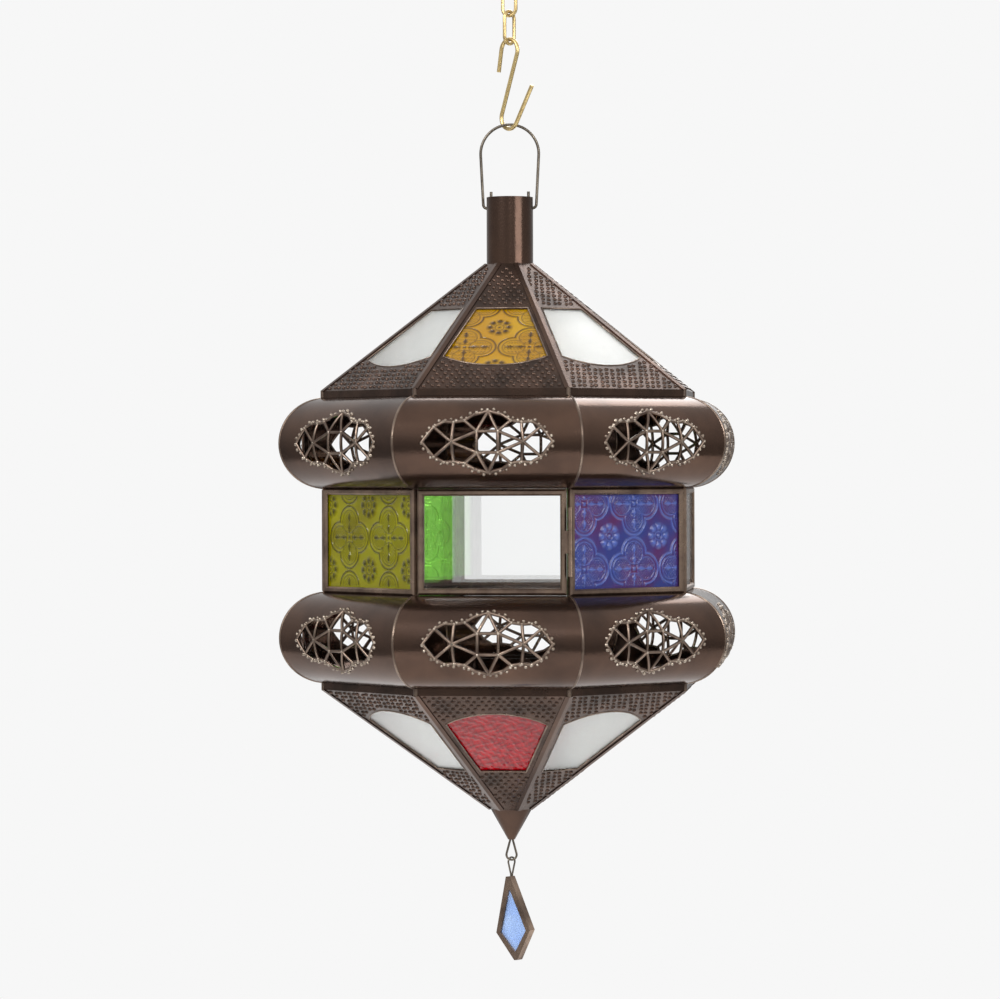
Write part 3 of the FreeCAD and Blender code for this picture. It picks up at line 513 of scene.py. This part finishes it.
@dataclass
class HalfRound:
    """The two rings of pierced half-round segments, in millimetres."""

    height: float = 49.5
    crown: float = 121.8
    flange: float = 1.6
    sheet: float = 0.6
    gap: float = 0.05
    strut: float = 1.7
    flats: int = 44
    bead_pitch: float = 2.9
    bead: float = 1.05
    bead_rows: tuple[float, float] = (0.5, 1.4)
    ridge: float = 0.8
    ridge_sink: float = 0.15
    seam: float = 0.75
    seam_sink: float = 0.3
    square: float = 5.6
    hub: float = 19.0
    fan: float = 16.2
    tip: float = 34.6
    lobe: float = 10.4
    levels: tuple[tuple[str, float], ...] = (("upper", -254.15), ("lower", -360.45))

    @property
    def radius(self) -> float:
        """Radius of the half-round."""
        return self.height / 2

    @property
    def middle(self) -> float:
        """Distance of the half-round's centre line from the axis."""
        return self.crown - self.radius

    def knots(self) -> dict[str, Point]:
        """Where the filigree's struts meet, in the upper right quarter, across and up from its middle."""
        notch = ((self.square + self.hub) / 2, 1.08 * self.lobe)
        return {
            "square": (self.square, self.square),
            "hub": (self.hub, 0.0),
            "fan": (0.0, self.fan),
            "tip": (self.tip, 0.0),
            "notch": notch,
            "crest": (self.hub - 0.1 * self.lobe, self.lobe),
            "shoulder": (self.hub + 0.4 * self.lobe, 1.03 * self.lobe),
            "spoke": (self.hub + 0.6 * (self.tip - self.hub), 0.76 * self.lobe),
            "fan_side": (0.62 * notch[0], 0.88 * self.fan),
        }

    def cells(self) -> list[list[Point]]:
        """Cells between the struts."""
        at = self.knots()
        quarter = [
            [at["fan"], at["square"], at["notch"], at["fan_side"]],
            [at["hub"], at["crest"], at["notch"], at["square"]],
            [at["hub"], at["spoke"], at["shoulder"], at["crest"]],
        ]
        cells = []
        for up in (1, -1):
            left = (-self.square, self.square * up)
            right = (self.square, self.square * up)
            cells.append([(0.0, self.fan * up), left, right])
            for across in (1, -1):
                cells += [[(u * across, v * up) for u, v in cell] for cell in quarter]
        for across in (1, -1):
            hub = (self.hub * across, 0.0)
            spoke = (at["spoke"][0] * across, at["spoke"][1])
            corner = (self.square * across, self.square)
            cells.append([hub, corner, (corner[0], -corner[1])])
            cells.append([hub, spoke, (self.tip * across, 0.0), (spoke[0], -spoke[1])])
        side = self.square
        cells.append([(side, side), (-side, side), (-side, -side), (side, -side)])
        return cells

    def outline(self) -> list[Point]:
        """Outline of the whole filigree."""
        at = self.knots()
        names = ("tip", "spoke", "shoulder", "crest", "notch", "fan_side", "fan")
        quarter = [at[name] for name in names]
        upper = quarter + [(-u, v) for u, v in reversed(quarter[:-1])]
        return upper + [(u, -v) for u, v in reversed(upper[1:-1])]

    @staticmethod
    def inset(cell: Sequence[Point], width: float) -> list[Point]:
        """A convex cell drawn in by a width on every side."""
        area = sum(a[0] * b[1] - b[0] * a[1] for a, b in zip(cell, [*cell[1:], cell[0]]))
        ring = [Vector(point) for point in (cell if area > 0 else cell[::-1])]
        count = len(ring)
        lines = []
        for index, start in enumerate(ring):
            along = (ring[(index + 1) % count] - start).normalized()
            lines.append((start + Vector((-along.y, along.x)) * width, along))
        corners = []
        for (base, along), (other, beyond) in zip([lines[-1], *lines[:-1]], lines):
            turn = along.x * beyond.y - along.y * beyond.x
            gap = other - base
            share = (gap.x * beyond.y - gap.y * beyond.x) / turn
            corners.append(tuple(base + along * share))
        return corners

    def front(self, v: float) -> float:
        """How far the half-round stands out at a height from its middle."""
        return self.middle + math.sqrt(max(self.radius ** 2 - v * v, 0.0))

    def blank(self) -> bmesh.types.BMesh:
        """Smooth unpierced segment at the front, about height zero."""
        outside = [(self.middle - x, z) for x, z in arc((0, 0), self.radius, 90, 270, self.flats)]
        inside = [(self.middle - x, z) for x, z in arc((0, 0), self.radius - self.sheet, 90, 270, self.flats)]
        seam = self.middle - self.flange
        outside = [(seam, self.radius), *outside, (seam, -self.radius)]
        inside = [(seam, self.radius - self.sheet), *inside, (seam, self.sheet - self.radius)]
        mesh = bmesh.new()
        ends = []
        for sign in (-1, 1):
            loops = []
            for loop in (outside, inside):
                points = [Vector((sign * (r * HALF_SIDE - self.gap), -r, z)) * MM for r, z in loop]
                loops.append([mesh.verts.new(point) for point in points])
            ends.append(loops)
            for (a, b), (c, d) in zip(zip(*loops), list(zip(*loops))[1:]):
                mesh.faces.new((a, c, d, b))
        for left, right in zip(ends[0], ends[1]):
            for index in range(len(left) - 1):
                mesh.faces.new((left[index], left[index + 1], right[index + 1], right[index]))
        for index in (0, -1):
            mesh.faces.new((ends[0][0][index], ends[0][1][index], ends[1][1][index], ends[1][0][index]))
        bmesh.ops.recalc_face_normals(mesh, faces=mesh.faces)
        return mesh

    def windows(self) -> bmesh.types.BMesh:
        """Prisms of the filigree's windows."""
        mesh = bmesh.new()
        for cell in self.cells():
            ring = self.inset(cell, self.strut / 2)
            near = [mesh.verts.new(Vector((u, -self.crown - 5, v)) * MM) for u, v in ring]
            far = [mesh.verts.new(Vector((u, -self.middle - 4, v)) * MM) for u, v in ring]
            mesh.faces.new(near)
            mesh.faces.new(far[::-1])
            for index in range(len(ring)):
                following = (index + 1) % len(ring)
                mesh.faces.new((near[index], near[following], far[following], far[index]))
        bmesh.ops.recalc_face_normals(mesh, faces=mesh.faces)
        return mesh

    def pierced(self) -> bpy.types.Mesh:
        """Mesh of a pierced segment at the front, about height zero."""
        things = []
        for name, mesh in (("blank", self.blank()), ("windows", self.windows())):
            data = bpy.data.meshes.new(name)
            mesh.to_mesh(data)
            mesh.free()
            thing = bpy.data.objects.new(name, data)
            bpy.context.scene.collection.objects.link(thing)
            things.append(thing)
        cut = things[0].modifiers.new("pierce", "BOOLEAN")
        cut.operation = "DIFFERENCE"
        cut.solver = "EXACT"
        cut.object = things[1]
        graph = bpy.context.evaluated_depsgraph_get()
        result = bpy.data.meshes.new_from_object(things[0].evaluated_get(graph))
        for thing in things:
            bpy.data.objects.remove(thing)
        return result

    def beads(self) -> bmesh.types.BMesh:
        """Beads pushed up round the filigree and where its struts meet, at the front about height zero."""
        mesh = bmesh.new()
        ring = self.outline()
        spare, count = 0.0, 0
        for start, end in zip(ring, [*ring[1:], ring[0]]):
            length = math.dist(start, end)
            out = Vector((end[1] - start[1], start[0] - end[0])).normalized()
            while spare < length:
                share = spare / length
                off = self.bead_rows[count % 2]
                u = start[0] + (end[0] - start[0]) * share + out.x * off
                v = start[1] + (end[1] - start[1]) * share + out.y * off
                self.bead_at(mesh, u, v, self.bead * (1.0 if count % 3 else 0.8))
                spare += self.bead_pitch
                count += 1
            spare -= length
        at = self.knots()
        for name in ("square", "hub", "notch", "crest", "shoulder", "spoke"):
            for across in (1, -1):
                for up in (1, -1):
                    self.bead_at(mesh, at[name][0] * across, at[name][1] * up, self.bead * 0.95)
        return mesh

    def ridges(self) -> bmesh.types.BMesh:
        """Rounded ridge along every strut, at the front about height zero."""
        mesh = bmesh.new()
        done = set()
        for cell in self.cells():
            for start, end in zip(cell, [*cell[1:], cell[0]]):
                key = frozenset((tuple(round(x, 3) for x in start), tuple(round(x, 3) for x in end)))
                if key in done:
                    continue
                done.add(key)
                steps = max(2, round(math.dist(start, end) / 2.5))
                route = []
                for step in range(steps + 1):
                    u = start[0] + (end[0] - start[0]) * step / steps
                    v = start[1] + (end[1] - start[1]) * step / steps
                    route.append(Vector((u, -self.front(v) + self.ridge_sink, v)) * MM)
                sweep(mesh, route, self.ridge * MM, sides=6)
        return mesh

    def bead_at(self, mesh: bmesh.types.BMesh, u: float, v: float, radius: float) -> None:
        """Adds one bead on the half-round."""
        out = Vector((0.0, -(self.front(v) - self.middle), v)).normalized()
        dome(mesh, Vector((u, -self.front(v), v)) * MM, out, radius * MM, radius * 1.15 * MM, sides=8)

    def build(self, shop: Workshop) -> None:
        """Both rings with their beads and their soldered seams."""
        pierced = self.pierced()
        for ring, level in self.levels:
            seams = bmesh.new()
            for side in range(SIDES):
                place = Matrix.Translation((0, 0, level * MM)) @ side_matrix(side)
                shell = bmesh.new()
                shell.from_mesh(pierced)
                shell.transform(place)
                node = f"{ring}_bulge_{side + 1}"
                shop.piece(f"{node}_sheet", shell, TIN, Body.LANTERN, [node], crease=25.0)
                for kind, trim, finish in (("beads", self.beads(), BEAD), ("ridges", self.ridges(), STRUT)):
                    trim.transform(place)
                    shop.piece(f"{node}_{kind}", trim, finish, Body.LANTERN, crease=70.0)
                bend = [(self.middle - x, z) for x, z in arc((0, 0), self.radius - self.seam_sink, 92, 268, 30)]
                corner = [place @ (Vector((r * HALF_SIDE, -r, z)) * MM) for r, z in bend]
                sweep(seams, corner, self.seam * MM, sides=8)
            shop.piece(f"{ring}_seams", seams, STRUT, Body.LANTERN)
        bpy.data.meshes.remove(pierced)


@dataclass
class Slope:
    """Roof or base: pebbles, panes and solder on the eight sloping panels, in millimetres."""

    name: str
    sign: int
    level: float
    height: float
    neck: float
    glass: tuple[float, float, float]
    margin: float
    tint: GlassFinish
    tint_node: str
    tint_slot: str
    eave: float = 99.5
    sheet: float = 0.6
    thick: float = 2.0
    lap: float = 2.4
    pitch: float = 4.0
    pebble: float = 1.25
    pebble_height: float = 0.95
    relief: Relief = Relief.PRESSED
    relief_depth: float = 0.55
    pattern_middle: Point = (17.5, 2.0)
    edging_wire: float = 0.5
    solder_drop: float = 1.25

    @property
    def run(self) -> float:
        """Horizontal depth of the slope."""
        return self.eave - self.neck

    @property
    def slant(self) -> float:
        """Length of the slope."""
        return math.hypot(self.run, self.height)

    def point(self, w: float, s: float, depth: float = 0.0) -> Vector:
        """Point of the front panel, sideways and along the slope from the lip, at a depth below its face."""
        cos, sin = self.run / self.slant, self.height / self.slant
        return Vector((w, -(self.eave - s * cos - depth * sin), self.level + self.sign * (s * sin - depth * cos))) * MM

    def half_width(self, s: float) -> float:
        """Half width of a panel at a distance from its lip."""
        return (self.eave - s * self.run / self.slant) * HALF_SIDE

    def in_glass(self, w: float, s: float, room: float) -> bool:
        """Whether a point of a panel is in its glass opening or within some room of it."""
        low, corner, high = self.glass
        if s > high + room or abs(w) > self.half_width(s) - self.margin + room:
            return False
        wide = self.half_width(corner) - self.margin
        sag = corner - low
        radius = (wide * wide + sag * sag) / (2 * sag)
        arch = low + radius - math.sqrt(max(radius * radius - w * w, 0.0))
        return s > arch - room

    def pebbles(self) -> bmesh.types.BMesh:
        """Staggered rows of raised dots on the front panel."""
        mesh = bmesh.new()
        out = Vector((0.0, -self.height / self.slant, self.sign * self.run / self.slant))
        rows = int((self.slant - 4.0) / (self.pitch * 0.866))
        for row in range(rows):
            s = 2.6 + row * self.pitch * 0.866
            columns = int(self.half_width(s) / self.pitch) + 1
            for column in range(-columns, columns + 1):
                w = (column + (0.5 if row % 2 else 0.0)) * self.pitch
                if abs(w) > self.half_width(s) - 3.4 or self.in_glass(w, s, 1.9):
                    continue
                sway = 0.35 * math.sin(7.1 * w + 3.3 * s)
                drift = 0.35 * math.sin(5.3 * w - 4.7 * s)
                radius = self.pebble * (1.0 + 0.12 * math.sin(3.9 * w + 6.1 * s))
                dome(mesh, self.point(w + sway, s + drift), out, radius * MM, self.pebble_height * MM)
        return mesh

    def pane(self, mesh: bmesh.types.BMesh, side: int) -> None:
        """Adds the pane behind one panel."""
        low, _, high = self.glass
        rows, columns = 84, 96
        lines = mesh.verts.layers.float.get("relief") or mesh.verts.layers.float.new("relief")
        turn = side_matrix(side)
        grid = []
        for row in range(rows + 1):
            s = low - self.lap + (high - low + 2 * self.lap) * row / rows
            half = self.half_width(s) - self.margin + self.lap
            line = []
            for column in range(columns + 1):
                w = half * (2 * column / columns - 1)
                rise = relief_height(self.relief, w - self.pattern_middle[0], s - self.pattern_middle[1])
                vertex = mesh.verts.new(turn @ self.point(w, s, self.sheet + 0.6 - self.relief_depth * rise))
                # Relief attribute: mask of the painted shade along the ripples and the pattern.
                vertex[lines] = min(1.0, 1.1 * rise)
                line.append(vertex)
            grid.append(line)
        close_grid(mesh, grid, turn @ (self.point(0, 0, self.thick - 0.3) - self.point(0, 0, 0)))

    def edging(self) -> bmesh.types.BMesh:
        """Thin rolled edge round the front panel's glass opening."""
        low, corner, high = self.glass
        wide = self.half_width(corner) - self.margin
        narrow = self.half_width(high) - self.margin
        sag = corner - low
        radius = (wide * wide + sag * sag) / (2 * sag)
        half_arch = math.degrees(math.asin(wide / radius))
        arch = arc((0, low + radius), radius, -90 - half_arch, -90 + half_arch, 20)
        ring = [*arch, (narrow, high), (-narrow, high)]
        mesh = bmesh.new()
        sweep(mesh, [self.point(w, s, 0.1) for w, s in ring], self.edging_wire * MM, closed=True, sides=8)
        return mesh

    def solder(self) -> bmesh.types.BMesh:
        """Drops of solder down the eight corners of the lip."""
        mesh = bmesh.new()
        for side in range(SIDES):
            turn = side_matrix(side)
            reach = self.eave - 0.5
            ends = [
                turn @ (Vector((reach * HALF_SIDE, -reach, self.level - self.sign * drop)) * MM) for drop in (-0.3, 3.6)
            ]
            sweep(mesh, ends, self.solder_drop * MM, sides=10)
        return mesh

    def build(self, shop: Workshop) -> None:
        """Dresses all eight panels."""
        tinted = bmesh.new()
        for side in range(SIDES):
            shop.dress(f"{self.name}_panel_{side + 1}", PEBBLED)
            for kind, mesh, finish in (("pebbles", self.pebbles(), PEBBLED), ("edging", self.edging(), STRUT)):
                mesh.transform(side_matrix(side))
                shop.piece(f"{self.name}_{kind}_{side + 1}", mesh, finish, Body.LANTERN, crease=80.0)
            if side % 2 == 0:
                self.pane(tinted, side)
        name = f"{self.tint_node}_{self.relief.value}"
        shop.piece(name, tinted, self.tint, Body.LANTERN, [self.tint_node], 60.0)
        shop.piece(f"{self.name}_lip_solder", self.solder(), STRUT, Body.LANTERN)
        shop.dress(f"{self.name}_hip_strips", TIN)


def relief_height(relief: Relief, u: float, v: float) -> float:
    """Height of a glass relief at a point.

    Args:
        relief: which surface.
        u: millimetres across.
        v: millimetres up.

    Returns:
        The height, from 0 to about 1.
    """
    if relief is Relief.PRESSED:
        return pressed_height(u, v)
    waves = math.sin(u * 0.75 + 1.6 * math.sin(v * 0.41)) * math.sin(v * 0.82 + 1.4 * math.sin(u * 0.37))
    fine = math.sin(u * 1.55 + v * 0.8) * math.sin(v * 1.45 - u * 0.7)
    return 0.5 + 0.32 * waves + 0.18 * fine


def pressed_height(u: float, v: float) -> float:
    """Height of the pressed pattern: touching quatrefoil medallions on a square lattice with rosettes between."""
    pitch = 35.0
    x = abs((u / pitch + 0.5) % 1.0 - 0.5) * pitch
    y = abs((v / pitch + 0.5) % 1.0 - 0.5) * pitch
    edge = min(math.hypot(x - 8.6, y), math.hypot(x, y - 8.6)) - 8.2
    height = max(0.0, 1.0 - abs(edge) / 0.9, 0.75 - abs(edge + 2.1) / 0.8)
    if -7.6 < edge < -2.8:
        height = max(height, math.sin(x * 3.6) * math.sin(y * 3.6))
    along, across = max(x, y), min(x, y)
    if 2.0 < along < 13.5:
        petal = 1.5 * math.sin(math.pi * (along - 2.0) / 5.75) ** 2 + 0.25
        height = max(height, 1.1 - across / petal)
    x = abs((u / pitch) % 1.0 - 0.5) * pitch
    y = abs((v / pitch) % 1.0 - 0.5) * pitch
    near, swing = math.hypot(x, y), math.atan2(y, x)
    if near < 7.4:
        petals = abs(math.cos(4 * swing)) ** 0.7
        height = max(height, petals * (1.15 - abs(near - 5.0) / 2.4), 1.0 - near / 1.5, 0.8 - abs(near - 2.4) / 0.7)
    return min(1.0, height)


def close_grid(mesh: bmesh.types.BMesh, grid: list[list[bmesh.types.BMVert]], depth: Vector) -> None:
    """Faces a grid of vertices and closes it with a flat back at a depth.

    Args:
        mesh: the bmesh that holds the grid.
        grid: rows of vertices.
        depth: from the front to the back.
    """
    for near, far in zip(grid, grid[1:]):
        for index in range(len(near) - 1):
            mesh.faces.new((near[index], near[index + 1], far[index + 1], far[index]))
    rim = [*grid[0][:-1], *(row[-1] for row in grid[:-1]), *grid[-1][:0:-1], *(row[0] for row in grid[:0:-1])]
    back = [mesh.verts.new(vertex.co + depth) for vertex in rim]
    mesh.faces.new(back)
    for index, vertex in enumerate(rim):
        following = (index + 1) % len(rim)
        mesh.faces.new((vertex, back[index], back[following], rim[following]))


@dataclass
class Windows:
    """Pressed panes, worn channels and the door's hinge, in millimetres."""

    inradius: float = 100.0
    depth: float = 4.6
    half_width: float = 38.2
    half_height: float = 26.4
    thick: float = 2.0
    relief_depth: float = 0.75
    level: float = -307.3
    tints: tuple[tuple[int, str, GlassFinish, Point], ...] = (
        (1, "blue", BLUE, (5.5, -14.9)),
        (3, "red", RED, (17.0, 2.0)),
        (5, "green", GREEN, (17.0, 2.0)),
        (7, "yellow", YELLOW, (17.0, 2.0)),
    )

    def pane(self, side: int, middle: Point) -> bmesh.types.BMesh:
        """Pressed pane of one side.

        Args:
            side: which side, from the front.
            middle: where a medallion's middle is.

        Returns:
            The pane, with its relief kept in the attribute along which the finish paints shade.
        """
        columns, rows = 168, 116
        mesh = bmesh.new()
        lines = mesh.verts.layers.float.new("relief")
        front = self.inradius - (self.depth - self.thick) / 2
        grid = []
        for row in range(rows + 1):
            v = self.half_height * (2 * row / rows - 1)
            line = []
            for column in range(columns + 1):
                u = self.half_width * (2 * column / columns - 1)
                inside = min(1.0, max(0.0, min(self.half_width - abs(u), self.half_height - abs(v)) - 1.8))
                rise = inside * pressed_height(u - middle[0], v - middle[1])
                vertex = mesh.verts.new(Vector((u, self.relief_depth * (1 - rise) - front, self.level + v)) * MM)
                # Relief attribute: mask of the painted shade along the pressed pattern.
                vertex[lines] = rise
                line.append(vertex)
            grid.append(line)
        close_grid(mesh, grid, Vector((0, (self.thick - self.relief_depth) * MM, 0)))
        mesh.transform(side_matrix(side))
        return mesh

    def build(self, shop: Workshop) -> None:
        """Panes, frames and hinge."""
        for side, tint, finish, middle in self.tints:
            node = f"window_{tint}_pane"
            pane = self.pane(side, middle)
            shop.piece(f"{node}_pressed", pane, finish, Body.LANTERN, [node], 60.0)
        for node in ("window_clear_panes", "door_pane"):
            shop.dress(node, CLEAR)
        shop.dress("slope_clear_panes", FROSTED)
        for node in ("window_frames", "door_frame", "frame_hinge_ears", "door_hinge_ear", "door_hinge_pin"):
            shop.dress(node, CAME)


@dataclass
class Finial:
    """Smooth cone, wire eye and pendant below the base, in millimetres."""

    level: float = -457.0
    height: float = 17.2
    rim: float = 11.6
    collar: float = 2.0
    tip: float = 1.95
    sheet: float = 0.6
    eye_wire: float = 1.2
    eye_width: float = 6.9
    eye_level: float = -482.75
    eye_length: float = 8.55
    eye_tuck: float = 3.0
    loop_wire: float = 1.0
    loop_width: float = 6.0
    loop_level: float = -486.6
    loop_length: float = 7.0
    loop_tuck: float = 1.0
    loop_turn: float = 50.0
    leg_gap: float = 0.1

    def cone(self, shop: Workshop) -> None:
        """Rolled cone."""
        mesh = bmesh.new()
        profile = [
            (self.rim - self.sheet, self.collar),
            (self.rim, self.collar),
            (self.rim, 0.0),
            (self.tip, -self.height),
            (self.tip - self.sheet, -self.height),
            (self.rim - self.sheet, 0.0),
        ]
        ring = [mesh.verts.new(Vector((r, 0, self.level + z)) * MM) for r, z in profile]
        edges = [mesh.edges.new(pair) for pair in zip(ring, ring[1:] + ring[:1])]
        bmesh.ops.spin(
            mesh, geom=ring + edges, cent=(0, 0, 0), axis=(0, 0, 1), angle=2 * math.pi, steps=64, use_merge=True
        )
        bmesh.ops.remove_doubles(mesh, verts=mesh.verts, dist=1e-6)
        shop.piece("finial_cone_rolled", mesh, TIN, Body.LANTERN, ["finial_cone"])

    def eyelet(self, width: float, wire: float, length: float, tuck: float) -> list[Point]:
        """Route of a wire bent round an eye, its two ends side by side."""
        radius, side = (width - wire) / 2, (wire + self.leg_gap) / 2
        tangent = math.degrees(math.atan2(length, side) - math.acos(radius / math.hypot(side, length)))
        eye = arc((0, 0), radius, tangent, -180 - tangent, 28)
        return [(side, length + tuck), (side, length), *eye, (-side, length), (-side, length + tuck)]

    def build(self, shop: Workshop) -> None:
        """Cone, eye, loop and pendant."""
        self.cone(shop)
        eye = self.eyelet(self.eye_width, self.eye_wire, self.eye_length, self.eye_tuck)
        mesh = bmesh.new()
        sweep(mesh, upright(eye, 0.0, self.eye_level), self.eye_wire / 2 * MM)
        shop.piece("finial_eye_round", mesh, STEEL, Body.LANTERN, ["finial_eye"])
        loop = self.eyelet(self.loop_width, self.loop_wire, self.loop_length, self.loop_tuck)
        mesh = bmesh.new()
        hanging = [(x, -z) for x, z in loop]
        sweep(mesh, upright(hanging, self.loop_turn, self.loop_level), self.loop_wire / 2 * MM)
        shop.piece("pendant_loop_round", mesh, STEEL, Body.PENDANT, ["pendant_loop"])
        shop.dress("pendant_frame", CAME)
        shop.dress("pendant_glass", PALE_BLUE)


@dataclass
class Studio:
    """Camera, light, floor and background."""

    distance: float = 2.2
    azimuth: float = 5.8
    eye_level: float = -0.2689
    pitch: float = 0.43
    roll: float = -0.155
    focal_pixels: float = 3962.0
    shift_pixels: float = 10.6
    width_pixels: float = 1000.0
    sensor: float = 36.0
    floor_level: float = -0.95

    def camera(self) -> None:
        """Camera at the photograph's angle."""
        data = bpy.data.cameras.new("camera")
        data.sensor_width = self.sensor
        data.lens = self.focal_pixels / self.width_pixels * self.sensor
        data.shift_x = -self.shift_pixels / self.width_pixels
        thing = bpy.data.objects.new("camera", data)
        turn = math.radians(self.azimuth)
        thing.location = (self.distance * math.sin(turn), -self.distance * math.cos(turn), self.eye_level)
        aim = Matrix.Rotation(turn, 4, "Z") @ Matrix.Rotation(math.radians(90 - self.pitch), 4, "X")
        aim = aim @ Matrix.Rotation(math.radians(self.roll), 4, "Z")
        thing.rotation_euler = aim.to_euler()
        bpy.context.scene.collection.objects.link(thing)
        bpy.context.scene.camera = thing

    def light(self, name: str, place: tuple[float, float, float], size: float, power: float) -> None:
        """A square soft light that faces the middle of the lantern."""
        data = bpy.data.lights.new(name, "AREA")
        data.size = size
        data.energy = power
        thing = bpy.data.objects.new(name, data)
        thing.location = place
        aim = Vector((0, 0, -0.3)) - Vector(place)
        thing.rotation_euler = aim.to_track_quat("-Z", "Y").to_euler()
        bpy.context.scene.collection.objects.link(thing)

    def background(self) -> None:
        """White to the camera and through glass, softer as a light."""
        world = bpy.data.worlds.new("studio")
        bpy.context.scene.world = world
        world.use_nodes = True
        tree = world.node_tree
        shader = tree.nodes["Background"]
        path = tree.nodes.new("ShaderNodeLightPath")
        seen = tree.nodes.new("ShaderNodeMath")
        seen.operation = "MAXIMUM"
        tree.links.new(path.outputs["Is Camera Ray"], seen.inputs[0])
        tree.links.new(path.outputs["Is Transmission Ray"], seen.inputs[1])
        place = tree.nodes.new("ShaderNodeTexCoord")
        split = tree.nodes.new("ShaderNodeSeparateXYZ")
        tree.links.new(place.outputs["Generated"], split.inputs["Vector"])
        sky = tree.nodes.new("ShaderNodeMapRange")
        sky.inputs["From Min"].default_value = -0.2
        sky.inputs["From Max"].default_value = 0.7
        sky.inputs["To Min"].default_value = 0.3
        sky.inputs["To Max"].default_value = 0.95
        tree.links.new(split.outputs["Z"], sky.inputs["Value"])
        level = tree.nodes.new("ShaderNodeMapRange")
        level.inputs["To Max"].default_value = 0.93
        tree.links.new(seen.outputs["Value"], level.inputs["Value"])
        tree.links.new(sky.outputs["Result"], level.inputs["To Min"])
        shader.inputs["Color"].default_value = (1.0, 1.0, 1.0, 1.0)
        tree.links.new(level.outputs["Result"], shader.inputs["Strength"])

    def floor(self) -> None:
        """Pale floor below the lantern, out of the camera's view."""
        mesh = bmesh.new()
        bmesh.ops.create_circle(mesh, cap_ends=True, radius=1.6, segments=48)
        mesh.transform(Matrix.Translation((0, 0, self.floor_level)))
        data = bpy.data.meshes.new("floor")
        mesh.to_mesh(data)
        mesh.free()
        thing = bpy.data.objects.new("floor", data)
        material = bpy.data.materials.new("floor")
        material.use_nodes = True
        material.node_tree.nodes["Principled BSDF"].inputs["Base Color"].default_value = (0.8, 0.8, 0.8, 1.0)
        data.materials.append(material)
        bpy.context.scene.collection.objects.link(thing)

    def build(self) -> None:
        """The whole studio."""
        self.camera()
        self.background()
        self.floor()
        self.light("key", (-1.2, -1.6, 0.9), 1.1, 38.0)
        self.light("fill", (1.5, -1.3, 0.3), 1.2, 18.0)
        self.light("streak", (0.35, -1.9, 0.55), 0.35, 11.0)
        self.light("back", (0.2, 1.6, 0.8), 1.4, 24.0)
        scene = bpy.context.scene
        scene.view_settings.view_transform = "Standard"


ROOF = Slope(
    name="roof",
    sign=1,
    level=-225.6,
    height=70.6,
    neck=13.0,
    glass=(20.2, 27.7, 70.9),
    margin=4.3,
    tint=AMBER,
    tint_node="roof_amber_panes",
    tint_slot="amber_glass",
)
BASE = Slope(
    name="base",
    sign=-1,
    level=-389.0,
    height=68.0,
    neck=11.7,
    glass=(16.8, 27.0, 72.6),
    margin=4.9,
    tint=RED,
    tint_node="base_red_panes",
    tint_slot="red_glass",
    relief=Relief.HAMMERED,
)


def main() -> None:
    """Builds the lantern's pieces, then the studio."""
    logging.basicConfig(level=logging.INFO, format="%(message)s")
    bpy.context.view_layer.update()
    shop = Workshop()
    Hanging().build(shop)
    for node in ("chimney_tube", "candle_holder"):
        shop.dress(node, TIN)
    ROOF.build(shop)
    BASE.build(shop)
    HalfRound().build(shop)
    Windows().build(shop)
    Finial().build(shop)
    Studio().build()


if __name__ == "__main__":
    main()
